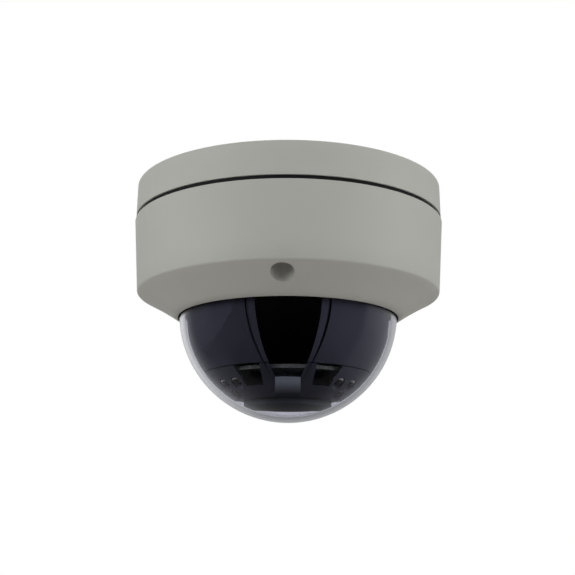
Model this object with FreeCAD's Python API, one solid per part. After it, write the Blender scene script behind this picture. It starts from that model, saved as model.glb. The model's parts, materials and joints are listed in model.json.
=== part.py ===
import FreeCAD, Part
import math
import os

# A ceiling-mounted dome camera. Millimetres, +Z up. The origin is the centre of the
# mounting face, the dome hangs below it, and the front of the camera faces -Y.

Vector = FreeCAD.Vector
up = Vector(0, 0, 1)

# ---- housing -------------------------------------------------------------------
side_room = 3.76         # room between the clamp ring's ears and the inside of the cover's side
cover_side_h = 33.93     # height of the cover's drafted side
cover_draft = 1.94       # how far the side draws in from its top edge to its corner
cover_wall = 2.8         # thickness of the cast side and cone
cone_h = 11.17           # height of the sloping face between the corner and the dome ring
cone_sag = 0.4           # how far that face is hollowed at its middle
corner_fillet = 1.3      # round between side and cone
edge_fillet = 0.4        # small round on cast edges
base_h = 15.2            # height of the mounting base's side
base_inset = 0.45        # base rim stands in from the cover's top edge
base_draft = 0.3         # how far the base's side draws in towards the ceiling
floor_t = 3.0            # thickness of the base's floor
base_wall = 3.0          # thickness of the base's side wall
seam_h = 1.9             # height of the gasket seam between base and cover
seam_recess = 1.35       # the gasket's face lies behind the cover's top edge
lip_h = 4.8              # locating lip that reaches down into the cover
lip_t = 1.5              # thickness of that lip
lip_gap = 1.3            # side gap between lip and cover

# ---- dome ----------------------------------------------------------------------
dome_r = 50.8            # outer radius of the clear dome, a 4 inch bubble
dome_wall = 2.5          # thickness of the dome
dome_rise = 3.0          # dome's centre above the lower edge of the cover's ring
dome_gap = 0.6           # radial gap between the dome and the cover's hole
ring_face = 0.25         # width of the flat rim round the dome hole
seat_rise = 7.7          # flange seat above the lower edge of the ring
seat_w = 5.2             # radial width of the flange seat
flange_t = 2.5           # thickness of the dome's flange
flange_gap = 0.3         # flange edge stands in from the edge of its seat
gasket_t = 0.8           # compressed thickness of the dome gasket
sleeve_gap = 0.05        # gasket sleeve's gap to the dome and to the hole
clamp_t = 2.0            # thickness of the steel clamp ring
clamp_in = 0.7           # clamp ring's hole is wider than the dome's inside by this
clamp_count = 6          # screws in the clamp ring
clamp_ear_r = 3.5        # radius of each ear and of the boss below it
clamp_ear_out = 3.9      # ear centres outside the edge of the flange seat
clamp_skin = 1.5         # metal left below each clamp screw hole

# ---- cover screws --------------------------------------------------------------
screw_count = 3          # security screws that hold the cover
screw_turn = -2.25       # first screw, degrees from the front towards -X
screw_inset = 9.0        # their circle lies this far inside the cover's top edge
recess_r = 5.1           # bore that the driver enters
recess_wall = 1.6        # wall of the tube round that bore
ledge_t = 3.2            # metal under each screw head
recess_drop = 7.2        # top of the tubes below the cover's top edge
head_r = 3.9             # security screw head
head_h = 4.0
shank_r = 2.0            # M4
shank_gap = 0.2          # play of the shank in the cover's ledge
thread_gap = 0.05        # play of a thread in its hole
shank_reach = 12.0       # shank above the ledge
shank_spare = 1.0        # thread goes on past the end of the shank
retainer_t = 1.0         # nylon washer that keeps each screw captive
retainer_r = 3.6
post_gap = 2.0           # base posts end above the tubes by this
post_r = 5.0             # radius of the base's posts

# ---- ceiling fixing and cable inlet --------------------------------------------
fixing_count = 3         # ceiling screw holes
fixing_inset = 10.5      # their circle lies this far inside the cover's top edge
fixing_hole_r = 2.4
inlet_r = 12.5           # hole in the base's floor
grommet_lip = 3.0        # how far the grommet's flange overlaps the floor
grommet_flange_t = 2.0
cable_hole_r = 3.75      # hole for a 7 mm cable

# ---- tilting ball --------------------------------------------------------------
arm_clear = 1.3          # yoke arm to the inside of the dome
arm_t = 2.0              # thickness of the yoke arms
arm_half = 6.0           # half width of the arms
washer_t = 0.6           # friction washer between arm and ball
washer_r = 5.0
pivot_land = 0.1         # flat round each pivot stands proud of the ball's cheeks
run_gap = 0.05           # running gap of every turning or sliding fit
shroud_wall = 1.6
shroud_top = 12.0        # shroud's open rim above the pivot
ball_gap = 0.6           # ball to the inside of the dome
cap_h = 18.9             # height of the ball's lower cap, from its seam to the ball's lowest point
cap_flat = 6.7           # the lamp cover ends flat this far above that point
cap_seam = 0.4           # gap between the shroud and the lamp cover
mouth_half = 14.2        # half width of the access mouth at the pivot's height
mouth_arc = 70.0         # radius of the arcs that draw its sides in below the pivot
mouth_tip = 5.2          # the mouth ends this far below the seam
mouth_lip = 0.3          # raised lip round the mouth
lip_wide = 3.0           # width of that lip at the pivot's height
lip_arc = 59.0           # radius of the lip's outer sides
groove_wide = 1.3        # groove outside the lip
groove_arc = 54.0        # radius of the groove's outer sides
groove_depth = 0.7
pivot_r = 2.5            # shoulder of the pivot screws
pivot_boss_r = 5.5       # boss round each pivot
pivot_boss_in = 3.9      # boss reaches inward from the pivot land by this
tab_t = 2.5              # upright tab of the carrier at each pivot

# ---- carrier and camera core ---------------------------------------------------
carrier_t = 2.5          # carrier plate, its top face at the pivot's height
carrier_r = 33.0
carrier_hole_r = 21.0
core_plate_r = 27.0
core_plate_t = 1.5
play = 0.1               # play of a plate under its clips or on its ledge
same_level = 0.001       # edges closer than this to a level lie on it
clip_t = 1.2
clip_half = 3.5          # half width of a clip
clip_over = 1.5          # clip overlaps the plate's edge
stop_w = 4.0             # width of stop tabs and teeth
stop_h = 1.8
stop_len = 1.7           # radial size of the core's stop tab
board_t = 1.6            # every circuit board
core_board = 38.0        # side of the square camera boards
core_post = 15.0         # board post centres, each way from the axis
core_post_r = 2.0
sensor_lift = 7.5        # sensor board above the core plate
processor_lift = 5.5     # processor board above the sensor board
sensor_side = 8.0
sensor_t = 1.2
mount_len = 27.0         # lens mount, along the filter's slide
mount_wide = 20.0
mount_tube_r = 9.5
mount_tube_low = 3.0     # tube's end below the pivot
filter_travel = 7.0      # IR-cut filter's slide
filter_t = 1.2
filter_wide = 10.0
window_r = 3.5
window_rim = 1.1         # filter frame outside its windows

# ---- lens ----------------------------------------------------------------------
barrel_r = 8.2
barrel_wall = 1.4
barrel_top = 1.5         # barrel's upper end above the pivot
barrel_past = 0.2        # barrel's lower end below the lamp board
lens_ring_r = 10.2       # zoom and focus rings
collar_r = 9.5           # fixed collars between the rings
collar_t = 1.5
zoom_h = 5.0             # height of the zoom ring
focus_h = 5.7            # height of the focus ring
ring_spacing = 6.0       # space between the two rings
grip_count = 36          # grip grooves round each ring
grip_r = 0.3
lock_r = 0.9             # shank of the rings' lock screws
lock_head_r = 1.8
lock_head_h = 2.0
lock_reach = 3.8         # shank outside the ring
lock_turn = 25.0         # lock screws stand off the front by this, degrees
cell_wall = 1.1
zoom_cell_lead = 5.0     # zoom cell reaches above the zoom ring
zoom_cell_h = 9.0
focus_cell_lead = 2.0    # focus cell's sleeve reaches above the focus ring
front_cell_r = 13.0
front_cell_drop = 1.7    # focus cell's front starts this far below the lamp board
front_cell_h = 7.0
front_lens_r = 11.2
front_lens_edge = 3.0    # edge thickness of the front lens
front_lens_bulge = 1.6
small_lens_edge = 1.8
small_lens_bulge = 1.0

# ---- lamp board ----------------------------------------------------------------
lamp_board_gap = 0.2     # lamp board's edge to the inside of the ball
lamp_hole_r = 15.8
lamp_r = 2.4             # infrared LED
lamp_hole_gap = 0.2      # LED to its hole in the lamp cover
lamp_edge = 0.2          # outer LEDs stand in from the board's edge
lamp_tip_in = 0.4        # LED tips lie inside the ball's surface
outer_lamps = (43.0, 57.0, 123.0, 137.0)    # degrees from the front, on both sides
inner_lamps = (54.0, 126.0)
lamp_row = 5.2           # inner row inside the outer row
cover_ledge_w = 2.4      # ledge inside the lamp cover that carries the board
cover_ledge_t = 1.2
pane_top_out = 23.3      # windows in the lamp cover beside the mouth: outer corner at the seam
pane_top_in = 12.2
pane_low_out = 17.6      # and the corners at their lower end
pane_low_in = 10.3
pane_h = 7.9             # height of the windows below the seam
sensor_half = 5.4        # frosted window of the light sensor, half width
sensor_flange = 1.0      # its rim behind the lamp cover
sensor_flange_t = 0.8
stay_circle_r = 23.5
stay_angles = (38.0, 142.0)
stay_r = 2.0
small_screw_r = 1.0      # M2
small_head_r = 1.9
small_head_h = 1.3
small_screw_reach = 5.0
photocell_r = 1.6
photocell_h = 2.4
hood_r = 20.0            # rubber ring round the lens
hood_foot_r = 15.3       # outer edge of its flat lower face
hood_hole_r = 14.2
hood_gap = 0.5           # its rounded edge to the inside of the dome

# ---- pan ring and yoke ---------------------------------------------------------
yoke_rise = 38.3         # underside of the yoke's plate above the pivot
yoke_t = 2.0
yoke_edge = 6.0          # yoke's plate reaches outside its arms by this
yoke_hole_r = 30.0
pan_wall = 2.6           # upright wall of the pan ring
pan_gap = 0.4            # side gap between yoke plate and wall
ledge_w = 3.5            # ledge lies under the yoke's edge by this
pan_ledge_t = 2.0
leg_out = 2.5            # leg centres outside the pan ring's wall
leg_r = 4.0
leg_boss_h = 5.0         # bosses on the base's floor above the legs
leg_screw_r = 1.5        # M3
leg_head_r = 2.75
leg_head_h = 2.0
leg_recess_depth = 3.0
keeper_reach = 2.4       # keepers overlap the yoke plate's edge
keeper_t = 1.5
keeper_half = 3.5
keeper_boss_r = 3.0
stop_inset = 4.2         # pan stops meet this far inside the yoke's edge
stop_tab_len = 2.5
stop_tab_h = 2.5

# ---- boards in the base --------------------------------------------------------
board_r = 47.0           # both boards are segments of this disc
board_gap = 18.5         # straight edge of each board, from the centre
board_lift = 4.4         # boards stand off the floor by this
board_post_r = 2.5
board_posts = ((-30.0, 27.0), (30.0, 27.0), (0.0, 42.0))
capacitor_r = 3.15
capacitor_h = 5.6
capacitor_spots = ((-20.0, -24.0), (-11.5, -24.0), (-22.5, -33.0))
terminal_size = (11.0, 7.0, 6.0)
terminal_spot = (-11.5, -39.0)
chip_side = 14.0
chip_h = 1.4
chip_spots = ((-17.0, 30.0), (20.0, 27.0))
plug_size = (8.0, 4.0, 4.6)
switch_spot = (12.0, -40.0)
switch_side = 6.0
switch_h = 3.5
button_r = 1.6
button_out = 1.5         # button's face below the switch
button_in = 1.0          # button's length inside the switch
button_travel = 0.3
lead_r = 1.2             # radius of the inner leads
lead_bend_r = 9.0
base_plug_y = 24.0       # plug on the main board
core_plug_y = 12.0       # plug on the processor board
lamp_lead_r = 0.9
lamp_lead_bend_r = 6.0
lamp_lead_gap = 0.6      # lamp lead passes the carrier's edge with this gap
lamp_lead_y = 8.0        # the lamp lead lies in this plane

# ---- levels and radii that follow from the sizes above ---------------------------
hole_r = dome_r + dome_gap
seat_r = hole_r + seat_w
ear_circle_r = seat_r + clamp_ear_out
corner_r = ear_circle_r + clamp_ear_r + side_room + cover_wall
cover_r = corner_r + cover_draft
cover_top_z = -base_h - seam_h
corner_z = cover_top_z - cover_side_h
ring_z = corner_z - cone_h
ring_r = hole_r + ring_face
cone_slope = cone_h / (corner_r - ring_r)
cone_drop = cover_wall * math.hypot(1, cone_slope)
dome_z = ring_z + dome_rise
dome_in_r = dome_r - dome_wall
seat_z = ring_z + seat_rise
flange_r = seat_r - flange_gap
flange_z = seat_z + gasket_t
clamp_z = flange_z + flange_t
clamp_hole_r = dome_in_r + clamp_in
front_deg = -90 + screw_turn
screw_circle_r = cover_r - screw_inset
fixing_circle_r = cover_r - fixing_inset
recess_top_z = cover_top_z - recess_drop
head_seat_z = recess_top_z - ledge_t
post_low_z = recess_top_z + post_gap
base_rim_r = cover_r - base_inset
base_top_r = base_rim_r - base_draft
lip_r = cover_r - cover_wall - lip_gap
arm_out_x = dome_in_r - arm_clear
arm_in_x = arm_out_x - arm_t
land_x = arm_in_x - washer_t
cheek_x = land_x - pivot_land
ball_r = dome_in_r - ball_gap
shroud_in_r = ball_r - shroud_wall
boss_in_x = land_x - pivot_boss_in
tab_in_x = boss_in_x - tab_t
core_z = dome_z + play
core_top_z = core_z + core_plate_t
sensor_board_z = core_top_z + sensor_lift
processor_board_z = sensor_board_z + board_t + processor_lift
barrel_in_r = barrel_r - barrel_wall
cell_r = barrel_in_r - run_gap
cell_in_r = cell_r - cell_wall
seam_z = dome_z - ball_r + cap_h
cap_low_z = dome_z - ball_r + cap_flat
lamp_board_z = seam_z - board_t
lamp_board_r = math.sqrt(shroud_in_r ** 2 - (dome_z - lamp_board_z) ** 2) - lamp_board_gap
outer_lamp_r = lamp_board_r - lamp_r - lamp_edge
inner_lamp_r = outer_lamp_r - lamp_row
front_top_z = lamp_board_z - front_cell_drop
rings_z = (dome_z - mount_tube_low + front_top_z) / 2
zoom_z = rings_z + ring_spacing / 2 + zoom_h
focus_z = rings_z - ring_spacing / 2
zoom_cell_z = zoom_z + zoom_cell_lead
focus_cell_z = focus_z + focus_cell_lead
hood_r_limit = dome_in_r - hood_gap
lamp_lead_out = carrier_r + lamp_lead_gap + lamp_lead_r
yoke_r = arm_out_x + yoke_edge
ledge_in_r = yoke_r - ledge_w
stop_circle_r = yoke_r - stop_inset
yoke_z = dome_z + yoke_rise
ledge_z = yoke_z - play
pan_wall_in_r = yoke_r + pan_gap
pan_wall_r = pan_wall_in_r + pan_wall
leg_circle_r = pan_wall_r + leg_out
keeper_z = yoke_z + yoke_t + play
keeper_circle_r = pan_wall_in_r + keeper_boss_r
base_board_z = -floor_t - board_lift - board_t
leg_top_z = -floor_t - leg_boss_h


# ---- shape helpers -----------------------------------------------------------------
def cylinder(radius, low, high, x=0.0, y=0.0):
    return Part.makeCylinder(radius, high - low, Vector(x, y, low))


def tube(outer, inner, low, high, x=0.0, y=0.0):
    return cylinder(outer, low, high, x, y).cut(cylinder(inner, low, high, x, y))


def block(x_low, x_high, y_low, y_high, low, high):
    corner = Vector(x_low, y_low, low)
    return Part.makeBox(x_high - x_low, y_high - y_low, high - low, corner)


def slab(size, x, y, low, high):
    return block(x - size / 2, x + size / 2, y - size / 2, y + size / 2, low, high)


def rod_x(radius, x_low, x_high, z):
    return Part.makeCylinder(radius, x_high - x_low, Vector(x_low, 0, z), Vector(1, 0, 0))


def ball(radius, z):
    solid = Part.makeSphere(radius)
    solid.translate(Vector(0, 0, z))
    return solid


def spun(edges):
    return Part.Face(Part.Wire(edges)).revolve(Vector(0, 0, 0), up, 360)


def spun_polygon(points):
    corners = [Vector(r, 0, z) for r, z in points]
    return Part.Face(Part.makePolygon(corners + corners[:1])).revolve(Vector(0, 0, 0), up, 360)


def turned(shape, degrees):
    return shape.rotated(Vector(0, 0, 0), up, degrees)


def around(shape, count, first=0.0):
    return [turned(shape, first + 360 * step / count) for step in range(count)]


def at_angle(radius, degrees):
    angle = math.radians(degrees)
    return radius * math.cos(angle), radius * math.sin(angle)


def joined(shapes):
    return shapes[0].multiFuse(shapes[1:]).removeSplitter()


def save(node, shape):
    solids = shape if isinstance(shape, list) else [shape]
    out = Part.makeCompound(solids) if len(solids) > 1 else solids[0]
    out.exportStep("parts/" + node + ".step")


def capped_screw(radius, head_radius, head_height, x, y, seat, tip):
    # A round-headed screw whose head lies below its seat and whose tip is above it.
    shank = cylinder(radius, seat, tip, x, y)
    head = cylinder(head_radius, seat - head_height, seat, x, y)
    socket = cylinder(head_radius * 0.45, seat - head_height, seat - head_height / 2, x, y)
    return shank.fuse(head).cut(socket)


def hanging_screw(radius, head_radius, head_height, x, y, seat, tip):
    # The same screw the other way up: head above its seat, tip below it.
    shank = cylinder(radius, tip, seat, x, y)
    head = cylinder(head_radius, seat, seat + head_height, x, y)
    socket = cylinder(head_radius * 0.45, seat + head_height / 2, seat + head_height, x, y)
    return shank.fuse(head).cut(socket)


# ---- housing -----------------------------------------------------------------------
def cone_z(radius):
    return corner_z - (corner_r - radius) * cone_slope


def cone_arc():
    # The sloping face in section: a shallow arc, hollow by cone_sag at its middle.
    middle_r = (corner_r + ring_r) / 2
    length = math.hypot(1, cone_slope)
    middle = Vector(middle_r - cone_sag * cone_slope / length, 0, cone_z(middle_r) + cone_sag / length)
    return Part.Arc(Vector(corner_r, 0, corner_z), middle, Vector(ring_r, 0, ring_z)).toShape()


def mounting_base():
    shell = spun_polygon([
        (0, 0), (base_top_r, 0), (base_rim_r, -base_h), (lip_r, -base_h),
        (lip_r, -base_h - lip_h), (lip_r - lip_t, -base_h - lip_h), (lip_r - lip_t, -base_h + lip_t),
        (base_rim_r - base_wall, -base_h + 2 * lip_t), (base_rim_r - base_wall, -floor_t), (0, -floor_t),
    ])
    flat_edges = [edge for edge in shell.Edges if edge.BoundBox.ZLength < same_level]
    top_edge = [edge for edge in flat_edges if abs(edge.BoundBox.ZMin) < same_level]
    shell = shell.makeFillet(edge_fillet, top_edge)
    shell = joined([shell] + screw_posts() + leg_bosses() + board_pads())
    shell = shell.cut(cylinder(inlet_r, -floor_t, 0))
    x, y = at_angle(fixing_circle_r, front_deg + 30)
    for hole in around(cylinder(fixing_hole_r, -floor_t, 0, x, y), fixing_count):
        shell = shell.cut(hole)
    x, y = at_angle(screw_circle_r, front_deg)
    thread = cylinder(shank_r + thread_gap, post_low_z, recess_top_z + shank_reach + shank_spare, x, y)
    for hole in around(thread, screw_count):
        shell = shell.cut(hole)
    x, y = at_angle(leg_circle_r, front_deg + 60)
    thread = cylinder(leg_screw_r + thread_gap, leg_top_z, -floor_t / 2, x, y)
    for hole in around(thread, 3):
        shell = shell.cut(hole)
    for x, y in all_board_posts():
        shell = shell.cut(cylinder(small_screw_r + thread_gap, -floor_t - board_lift, -floor_t / 2, x, y))
    return shell


def screw_posts():
    x, y = at_angle(screw_circle_r, front_deg)
    return around(cylinder(post_r, post_low_z, -floor_t, x, y), screw_count)


def leg_bosses():
    x, y = at_angle(leg_circle_r, front_deg + 60)
    return around(cylinder(leg_r, leg_top_z, -floor_t, x, y), 3)


def all_board_posts():
    return [(x, y) for x, y in board_posts] + [(x, -y) for x, y in board_posts]


def board_pads():
    return [cylinder(board_post_r, -floor_t - board_lift, -floor_t, x, y) for x, y in all_board_posts()]


def cable_grommet():
    flange_r = inlet_r + grommet_lip
    body = cylinder(inlet_r, -floor_t, 0).fuse(cylinder(flange_r, -floor_t - grommet_flange_t, -floor_t))
    return body.removeSplitter().cut(cylinder(cable_hole_r, -floor_t - grommet_flange_t, 0))


def base_gasket():
    return tube(cover_r - seam_recess, lip_r + play, cover_top_z, -base_h)


def envelope():
    # The cover's outside as a full solid: drafted side, rounded corner, hollowed cone.
    top = Vector(cover_r, 0, cover_top_z)
    corner = Vector(corner_r, 0, corner_z)
    ring = Vector(ring_r, 0, ring_z)
    foot = Vector(0, 0, ring_z)
    head = Vector(0, 0, cover_top_z)
    body = spun([
        Part.LineSegment(head, top).toShape(), Part.LineSegment(top, corner).toShape(), cone_arc(),
        Part.LineSegment(ring, foot).toShape(), Part.LineSegment(foot, head).toShape(),
    ])
    body = body.makeFillet(corner_fillet, ring_edges(body, corner_z, corner_r))
    return body.makeFillet(edge_fillet, ring_edges(body, cover_top_z, cover_r))


def ring_edges(shape, z, radius):
    # The circular edges of a turned shape at one level and radius.
    near = 0.01
    found = []
    for edge in shape.Edges:
        box = edge.BoundBox
        if abs(box.ZMin - z) < near and abs(box.ZMax - z) < near and abs(box.XMax - radius) < near:
            found.append(edge)
    return found


def hollow():
    # The space inside the cover, down to the dome's flange seat and out through its hole.
    side_top = cover_r - cover_wall
    side_low = corner_r - cover_wall
    return spun_polygon([
        (0, cover_top_z), (side_top, cover_top_z), (side_low, cone_z(side_low) + cone_drop),
        (seat_r, cone_z(seat_r) + cone_drop), (seat_r, seat_z), (hole_r, seat_z),
        (hole_r, ring_z), (0, ring_z),
    ])


def cover_shell():
    outside = envelope()
    shell = outside.cut(hollow())
    x, y = at_angle(screw_circle_r, front_deg)
    tubes = around(cylinder(recess_r + recess_wall, ring_z, recess_top_z, x, y), screw_count)
    ear_x, ear_y = at_angle(ear_circle_r, front_deg + 30)
    bosses = around(cylinder(clamp_ear_r, ring_z, clamp_z, ear_x, ear_y), clamp_count)
    inner = [piece.common(outside) for piece in tubes + bosses]
    shell = shell.multiFuse(inner)
    recess = cylinder(recess_r, ring_z, head_seat_z, x, y)
    passage = cylinder(shank_r + shank_gap, head_seat_z, recess_top_z, x, y)
    for hole in around(recess, screw_count) + around(passage, screw_count):
        shell = shell.cut(hole)
    thread = cylinder(leg_screw_r + thread_gap, cone_z(ear_circle_r) + clamp_skin, clamp_z, ear_x, ear_y)
    for hole in around(thread, clamp_count):
        shell = shell.cut(hole)
    return shell


def cover_screws():
    x, y = at_angle(screw_circle_r, front_deg)
    screw = capped_screw(shank_r, head_r, head_h, x, y, head_seat_z, recess_top_z + shank_reach)
    pin = cylinder(head_r * 0.12, head_seat_z - head_h * 0.8, head_seat_z - head_h / 2, x, y)
    return around(screw.fuse(pin), screw_count)


def screw_retainers():
    x, y = at_angle(screw_circle_r, front_deg)
    return around(tube(retainer_r, shank_r, recess_top_z, recess_top_z + retainer_t, x, y), screw_count)


def dome_bubble():
    outside = ball(dome_r, dome_z).cut(cylinder(seat_r, dome_z, dome_z + seat_r))
    outside = outside.fuse(cylinder(dome_r, dome_z, clamp_z))
    outside = outside.fuse(cylinder(flange_r, flange_z, clamp_z)).removeSplitter()
    inside = ball(dome_in_r, dome_z).fuse(cylinder(dome_in_r, dome_z, clamp_z))
    above = cylinder(seat_r, clamp_z, dome_z + dome_r)
    return outside.cut(inside).cut(above)


def dome_gasket():
    sleeve_in = dome_r + sleeve_gap
    return spun_polygon([
        (sleeve_in, ring_z + sleeve_gap * 4), (hole_r - sleeve_gap, ring_z + sleeve_gap * 4),
        (hole_r - sleeve_gap, seat_z), (flange_r, seat_z), (flange_r, flange_z), (sleeve_in, flange_z),
    ])


def clamp_ring():
    ring = cylinder(flange_r, clamp_z, clamp_z + clamp_t)
    ear_x, ear_y = at_angle(ear_circle_r, 0)
    ear = cylinder(clamp_ear_r, clamp_z, clamp_z + clamp_t, ear_x, ear_y)
    bridge = block(clamp_hole_r + clamp_in, ear_x, -clamp_ear_r, clamp_ear_r, clamp_z, clamp_z + clamp_t)
    ring = joined([ring] + around(ear.fuse(bridge), clamp_count, front_deg + 30))
    ring = ring.cut(cylinder(clamp_hole_r, clamp_z, clamp_z + clamp_t))
    hole = cylinder(leg_screw_r + thread_gap, clamp_z, clamp_z + clamp_t, ear_x, ear_y)
    for passage in around(hole, clamp_count, front_deg + 30):
        ring = ring.cut(passage)
    return ring


def clamp_screws():
    x, y = at_angle(ear_circle_r, front_deg + 30)
    tip = cone_z(ear_circle_r) + clamp_skin + play
    screw = hanging_screw(leg_screw_r, leg_head_r, leg_head_h, x, y, clamp_z + clamp_t, tip)
    return around(screw, clamp_count)


# ---- boards in the base ------------------------------------------------------------
def board(side):
    # A segment of a disc, behind (side 1) or in front of (side -1) the cable inlet.
    disc = cylinder(board_r, base_board_z, base_board_z + board_t)
    half = block(-board_r, board_r, board_gap, board_r, base_board_z, base_board_z + board_t)
    plate = disc.common(half)
    for x, y in board_posts:
        plate = plate.cut(cylinder(small_screw_r + thread_gap, base_board_z, base_board_z + board_t, x, y))
    return plate if side > 0 else plate.mirror(Vector(0, 0, 0), Vector(0, 1, 0))


def board_screws():
    tip = -floor_t - board_lift / 3
    return [
        capped_screw(small_screw_r, small_head_r, small_head_h, x, y, base_board_z, tip)
        for x, y in all_board_posts()
    ]


def power_capacitors():
    low = base_board_z - capacitor_h
    return [cylinder(capacitor_r, low, base_board_z, x, y) for x, y in capacitor_spots]


def power_terminal():
    length, width, height = terminal_size
    x, y = terminal_spot
    low = base_board_z - height
    body = block(x - length / 2, x + length / 2, y - width / 2, y + width / 2, low, base_board_z)
    for step in (-1, 1):
        screw_hole = cylinder(width / 4, low, low + height / 3, x + step * length / 4, y - width / 6)
        wire_hole = block(
            x + step * length / 4 - width / 5, x + step * length / 4 + width / 5,
            y, y + width / 2, low + height / 2, low + height * 0.85,
        )
        body = body.cut(screw_hole).cut(wire_hole)
    return body


def main_chips():
    return [slab(chip_side, x, y, base_board_z - chip_h, base_board_z) for x, y in chip_spots]


def plug(x, y, low, rim, mouth_up):
    # A small plug-in connector with a stepped rim round the end where its lead enters.
    length, width, height = plug_size
    body = block(x - length / 2, x + length / 2, y - width / 2, y + width / 2, low, low + height)
    edge = low + height - rim if mouth_up else low
    step = block(x - length / 2 - rim, x + length / 2 + rim, y - width / 2, y + width / 2, edge, edge + rim)
    return body.fuse(step).removeSplitter()


def reset_switch():
    x, y = switch_spot
    low = base_board_z - switch_h
    body = slab(switch_side, x, y, low, base_board_z)
    well = cylinder(button_r + run_gap, low, low + button_in + button_travel + play, x, y)
    return body.cut(well)


def reset_button():
    x, y = switch_spot
    low = base_board_z - switch_h
    return cylinder(button_r, low - button_out, low + button_in, x, y)


# ---- pan ring and yoke -------------------------------------------------------------
def pan_ring():
    low = ledge_z - pan_ledge_t
    x, y = at_angle(leg_circle_r, front_deg + 60)
    legs = around(cylinder(leg_r, low, leg_top_z, x, y), 3)
    boss_x, boss_y = at_angle(keeper_circle_r, front_deg + 90)
    bosses = around(cylinder(keeper_boss_r, low, keeper_z, boss_x, boss_y), 3)
    wall = tube(pan_wall_r, pan_wall_in_r, low, keeper_z)
    floor_ring = tube(pan_wall_r, ledge_in_r, low, ledge_z)
    tooth_low = keeper_z + stop_tab_h / 4
    tooth = block(
        stop_circle_r - stop_tab_len / 2, leg_circle_r, -stop_w / 2, stop_w / 2,
        tooth_low, tooth_low + stop_tab_h,
    )
    ring = joined([wall, floor_ring, turned(tooth, 90)] + legs + bosses)
    recess = cylinder(leg_head_r + play, low, low + leg_recess_depth, x, y)
    passage = cylinder(leg_screw_r + thread_gap, low, leg_top_z, x, y)
    thread = cylinder(small_screw_r + thread_gap, low + pan_ledge_t / 2, keeper_z, boss_x, boss_y)
    for hole in around(recess, 3) + around(passage, 3) + around(thread, 3):
        ring = ring.cut(hole)
    return ring


def pan_ring_screws():
    x, y = at_angle(leg_circle_r, front_deg + 60)
    seat = ledge_z - pan_ledge_t + leg_recess_depth
    tip = -floor_t / 2 - play
    return around(capped_screw(leg_screw_r, leg_head_r, leg_head_h, x, y, seat, tip), 3)


def pan_keepers():
    reach = keeper_circle_r + keeper_boss_r
    high = keeper_z + keeper_t
    bar = block(yoke_r - keeper_reach, reach, -keeper_half, keeper_half, keeper_z, high)
    hole = cylinder(small_screw_r + thread_gap, keeper_z, high, keeper_circle_r, 0)
    return around(bar.cut(hole), 3, front_deg + 90)


def keeper_screws():
    x, y = at_angle(keeper_circle_r, front_deg + 90)
    seat = keeper_z + keeper_t
    tip = ledge_z - pan_ledge_t / 2 + play
    return around(hanging_screw(small_screw_r, small_head_r, small_head_h, x, y, seat, tip), 3)


def pan_yoke():
    high = yoke_z + yoke_t
    plate = tube(yoke_r, yoke_hole_r, yoke_z, high)
    arm = block(arm_in_x, arm_out_x, -arm_half, arm_half, dome_z, high)
    arm = arm.fuse(rod_x(arm_half, arm_in_x, arm_out_x, dome_z))
    tab_low = stop_circle_r - stop_tab_len / 2
    tab = block(
        tab_low, tab_low + stop_tab_len / 2, -stop_w / 2, stop_w / 2, yoke_z, keeper_z + stop_tab_h,
    )
    yoke = joined([plate, arm, turned(arm, 180), turned(tab, -90)])
    for side in (0, 180):
        yoke = yoke.cut(turned(rod_x(pivot_r + run_gap, arm_in_x, arm_out_x, dome_z), side))
    return yoke


def tilt_washers():
    washer = rod_x(washer_r, arm_in_x - washer_t, arm_in_x - run_gap, dome_z)
    washer = washer.cut(rod_x(pivot_r + run_gap, arm_in_x - washer_t, arm_in_x, dome_z))
    return [washer, turned(washer, 180)]


# ---- tilting ball ------------------------------------------------------------------
def tongue(half, arc, low):
    # A tongue shape cut through the ball's front: upright above the pivot, drawn in by arcs below.
    high = dome_z + shroud_top + play
    drop = dome_z - low

    def side(depth):
        return half - arc + math.sqrt(arc ** 2 - depth ** 2)

    edges = [Part.LineSegment(Vector(-half, 0, high), Vector(half, 0, high)).toShape()]
    for way in (1, -1):
        shoulder = Vector(way * half, 0, dome_z)
        middle = Vector(way * side(drop / 2), 0, dome_z - drop / 2)
        foot = Vector(way * side(drop), 0, low)
        edges.append(Part.LineSegment(Vector(way * half, 0, high), shoulder).toShape())
        edges.append(Part.Arc(shoulder, middle, foot).toShape())
    edges.append(Part.LineSegment(Vector(-side(drop), 0, low), Vector(side(drop), 0, low)).toShape())
    return Part.Face(Part.Wire(Part.__sortEdges__(edges))).extrude(Vector(0, -dome_r, 0))


def mouth():
    return tongue(mouth_half, mouth_arc, seam_z - mouth_tip)


def lip_field():
    return tongue(mouth_half + lip_wide, lip_arc, seam_z - mouth_tip)


def groove_field():
    return tongue(mouth_half + lip_wide + groove_wide, groove_arc, seam_z - mouth_tip)


def cheeked_ball(radius):
    # A ball with flat cheeks beside the yoke's arms. Smaller ones inside it keep the wall's thickness.
    half = cheek_x + radius - ball_r
    return ball(radius, dome_z).common(block(-half, half, -dome_r, dome_r, dome_z - dome_r, dome_z + dome_r))


def ball_zone(radius, low, high):
    # The same, cut flat at two levels.
    return cheeked_ball(radius).common(cylinder(dome_r, low, high))


def framed_front(shape, low, high):
    # Adds the mouth's raised lip and cuts its groove and the mouth itself.
    groove = groove_field().cut(lip_field()).cut(ball(ball_r - groove_depth, dome_z))
    lip = ball_zone(ball_r + mouth_lip, low, high).common(lip_field()).cut(ball(ball_r - play, dome_z))
    return shape.cut(groove).fuse(lip).cut(mouth())


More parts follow.
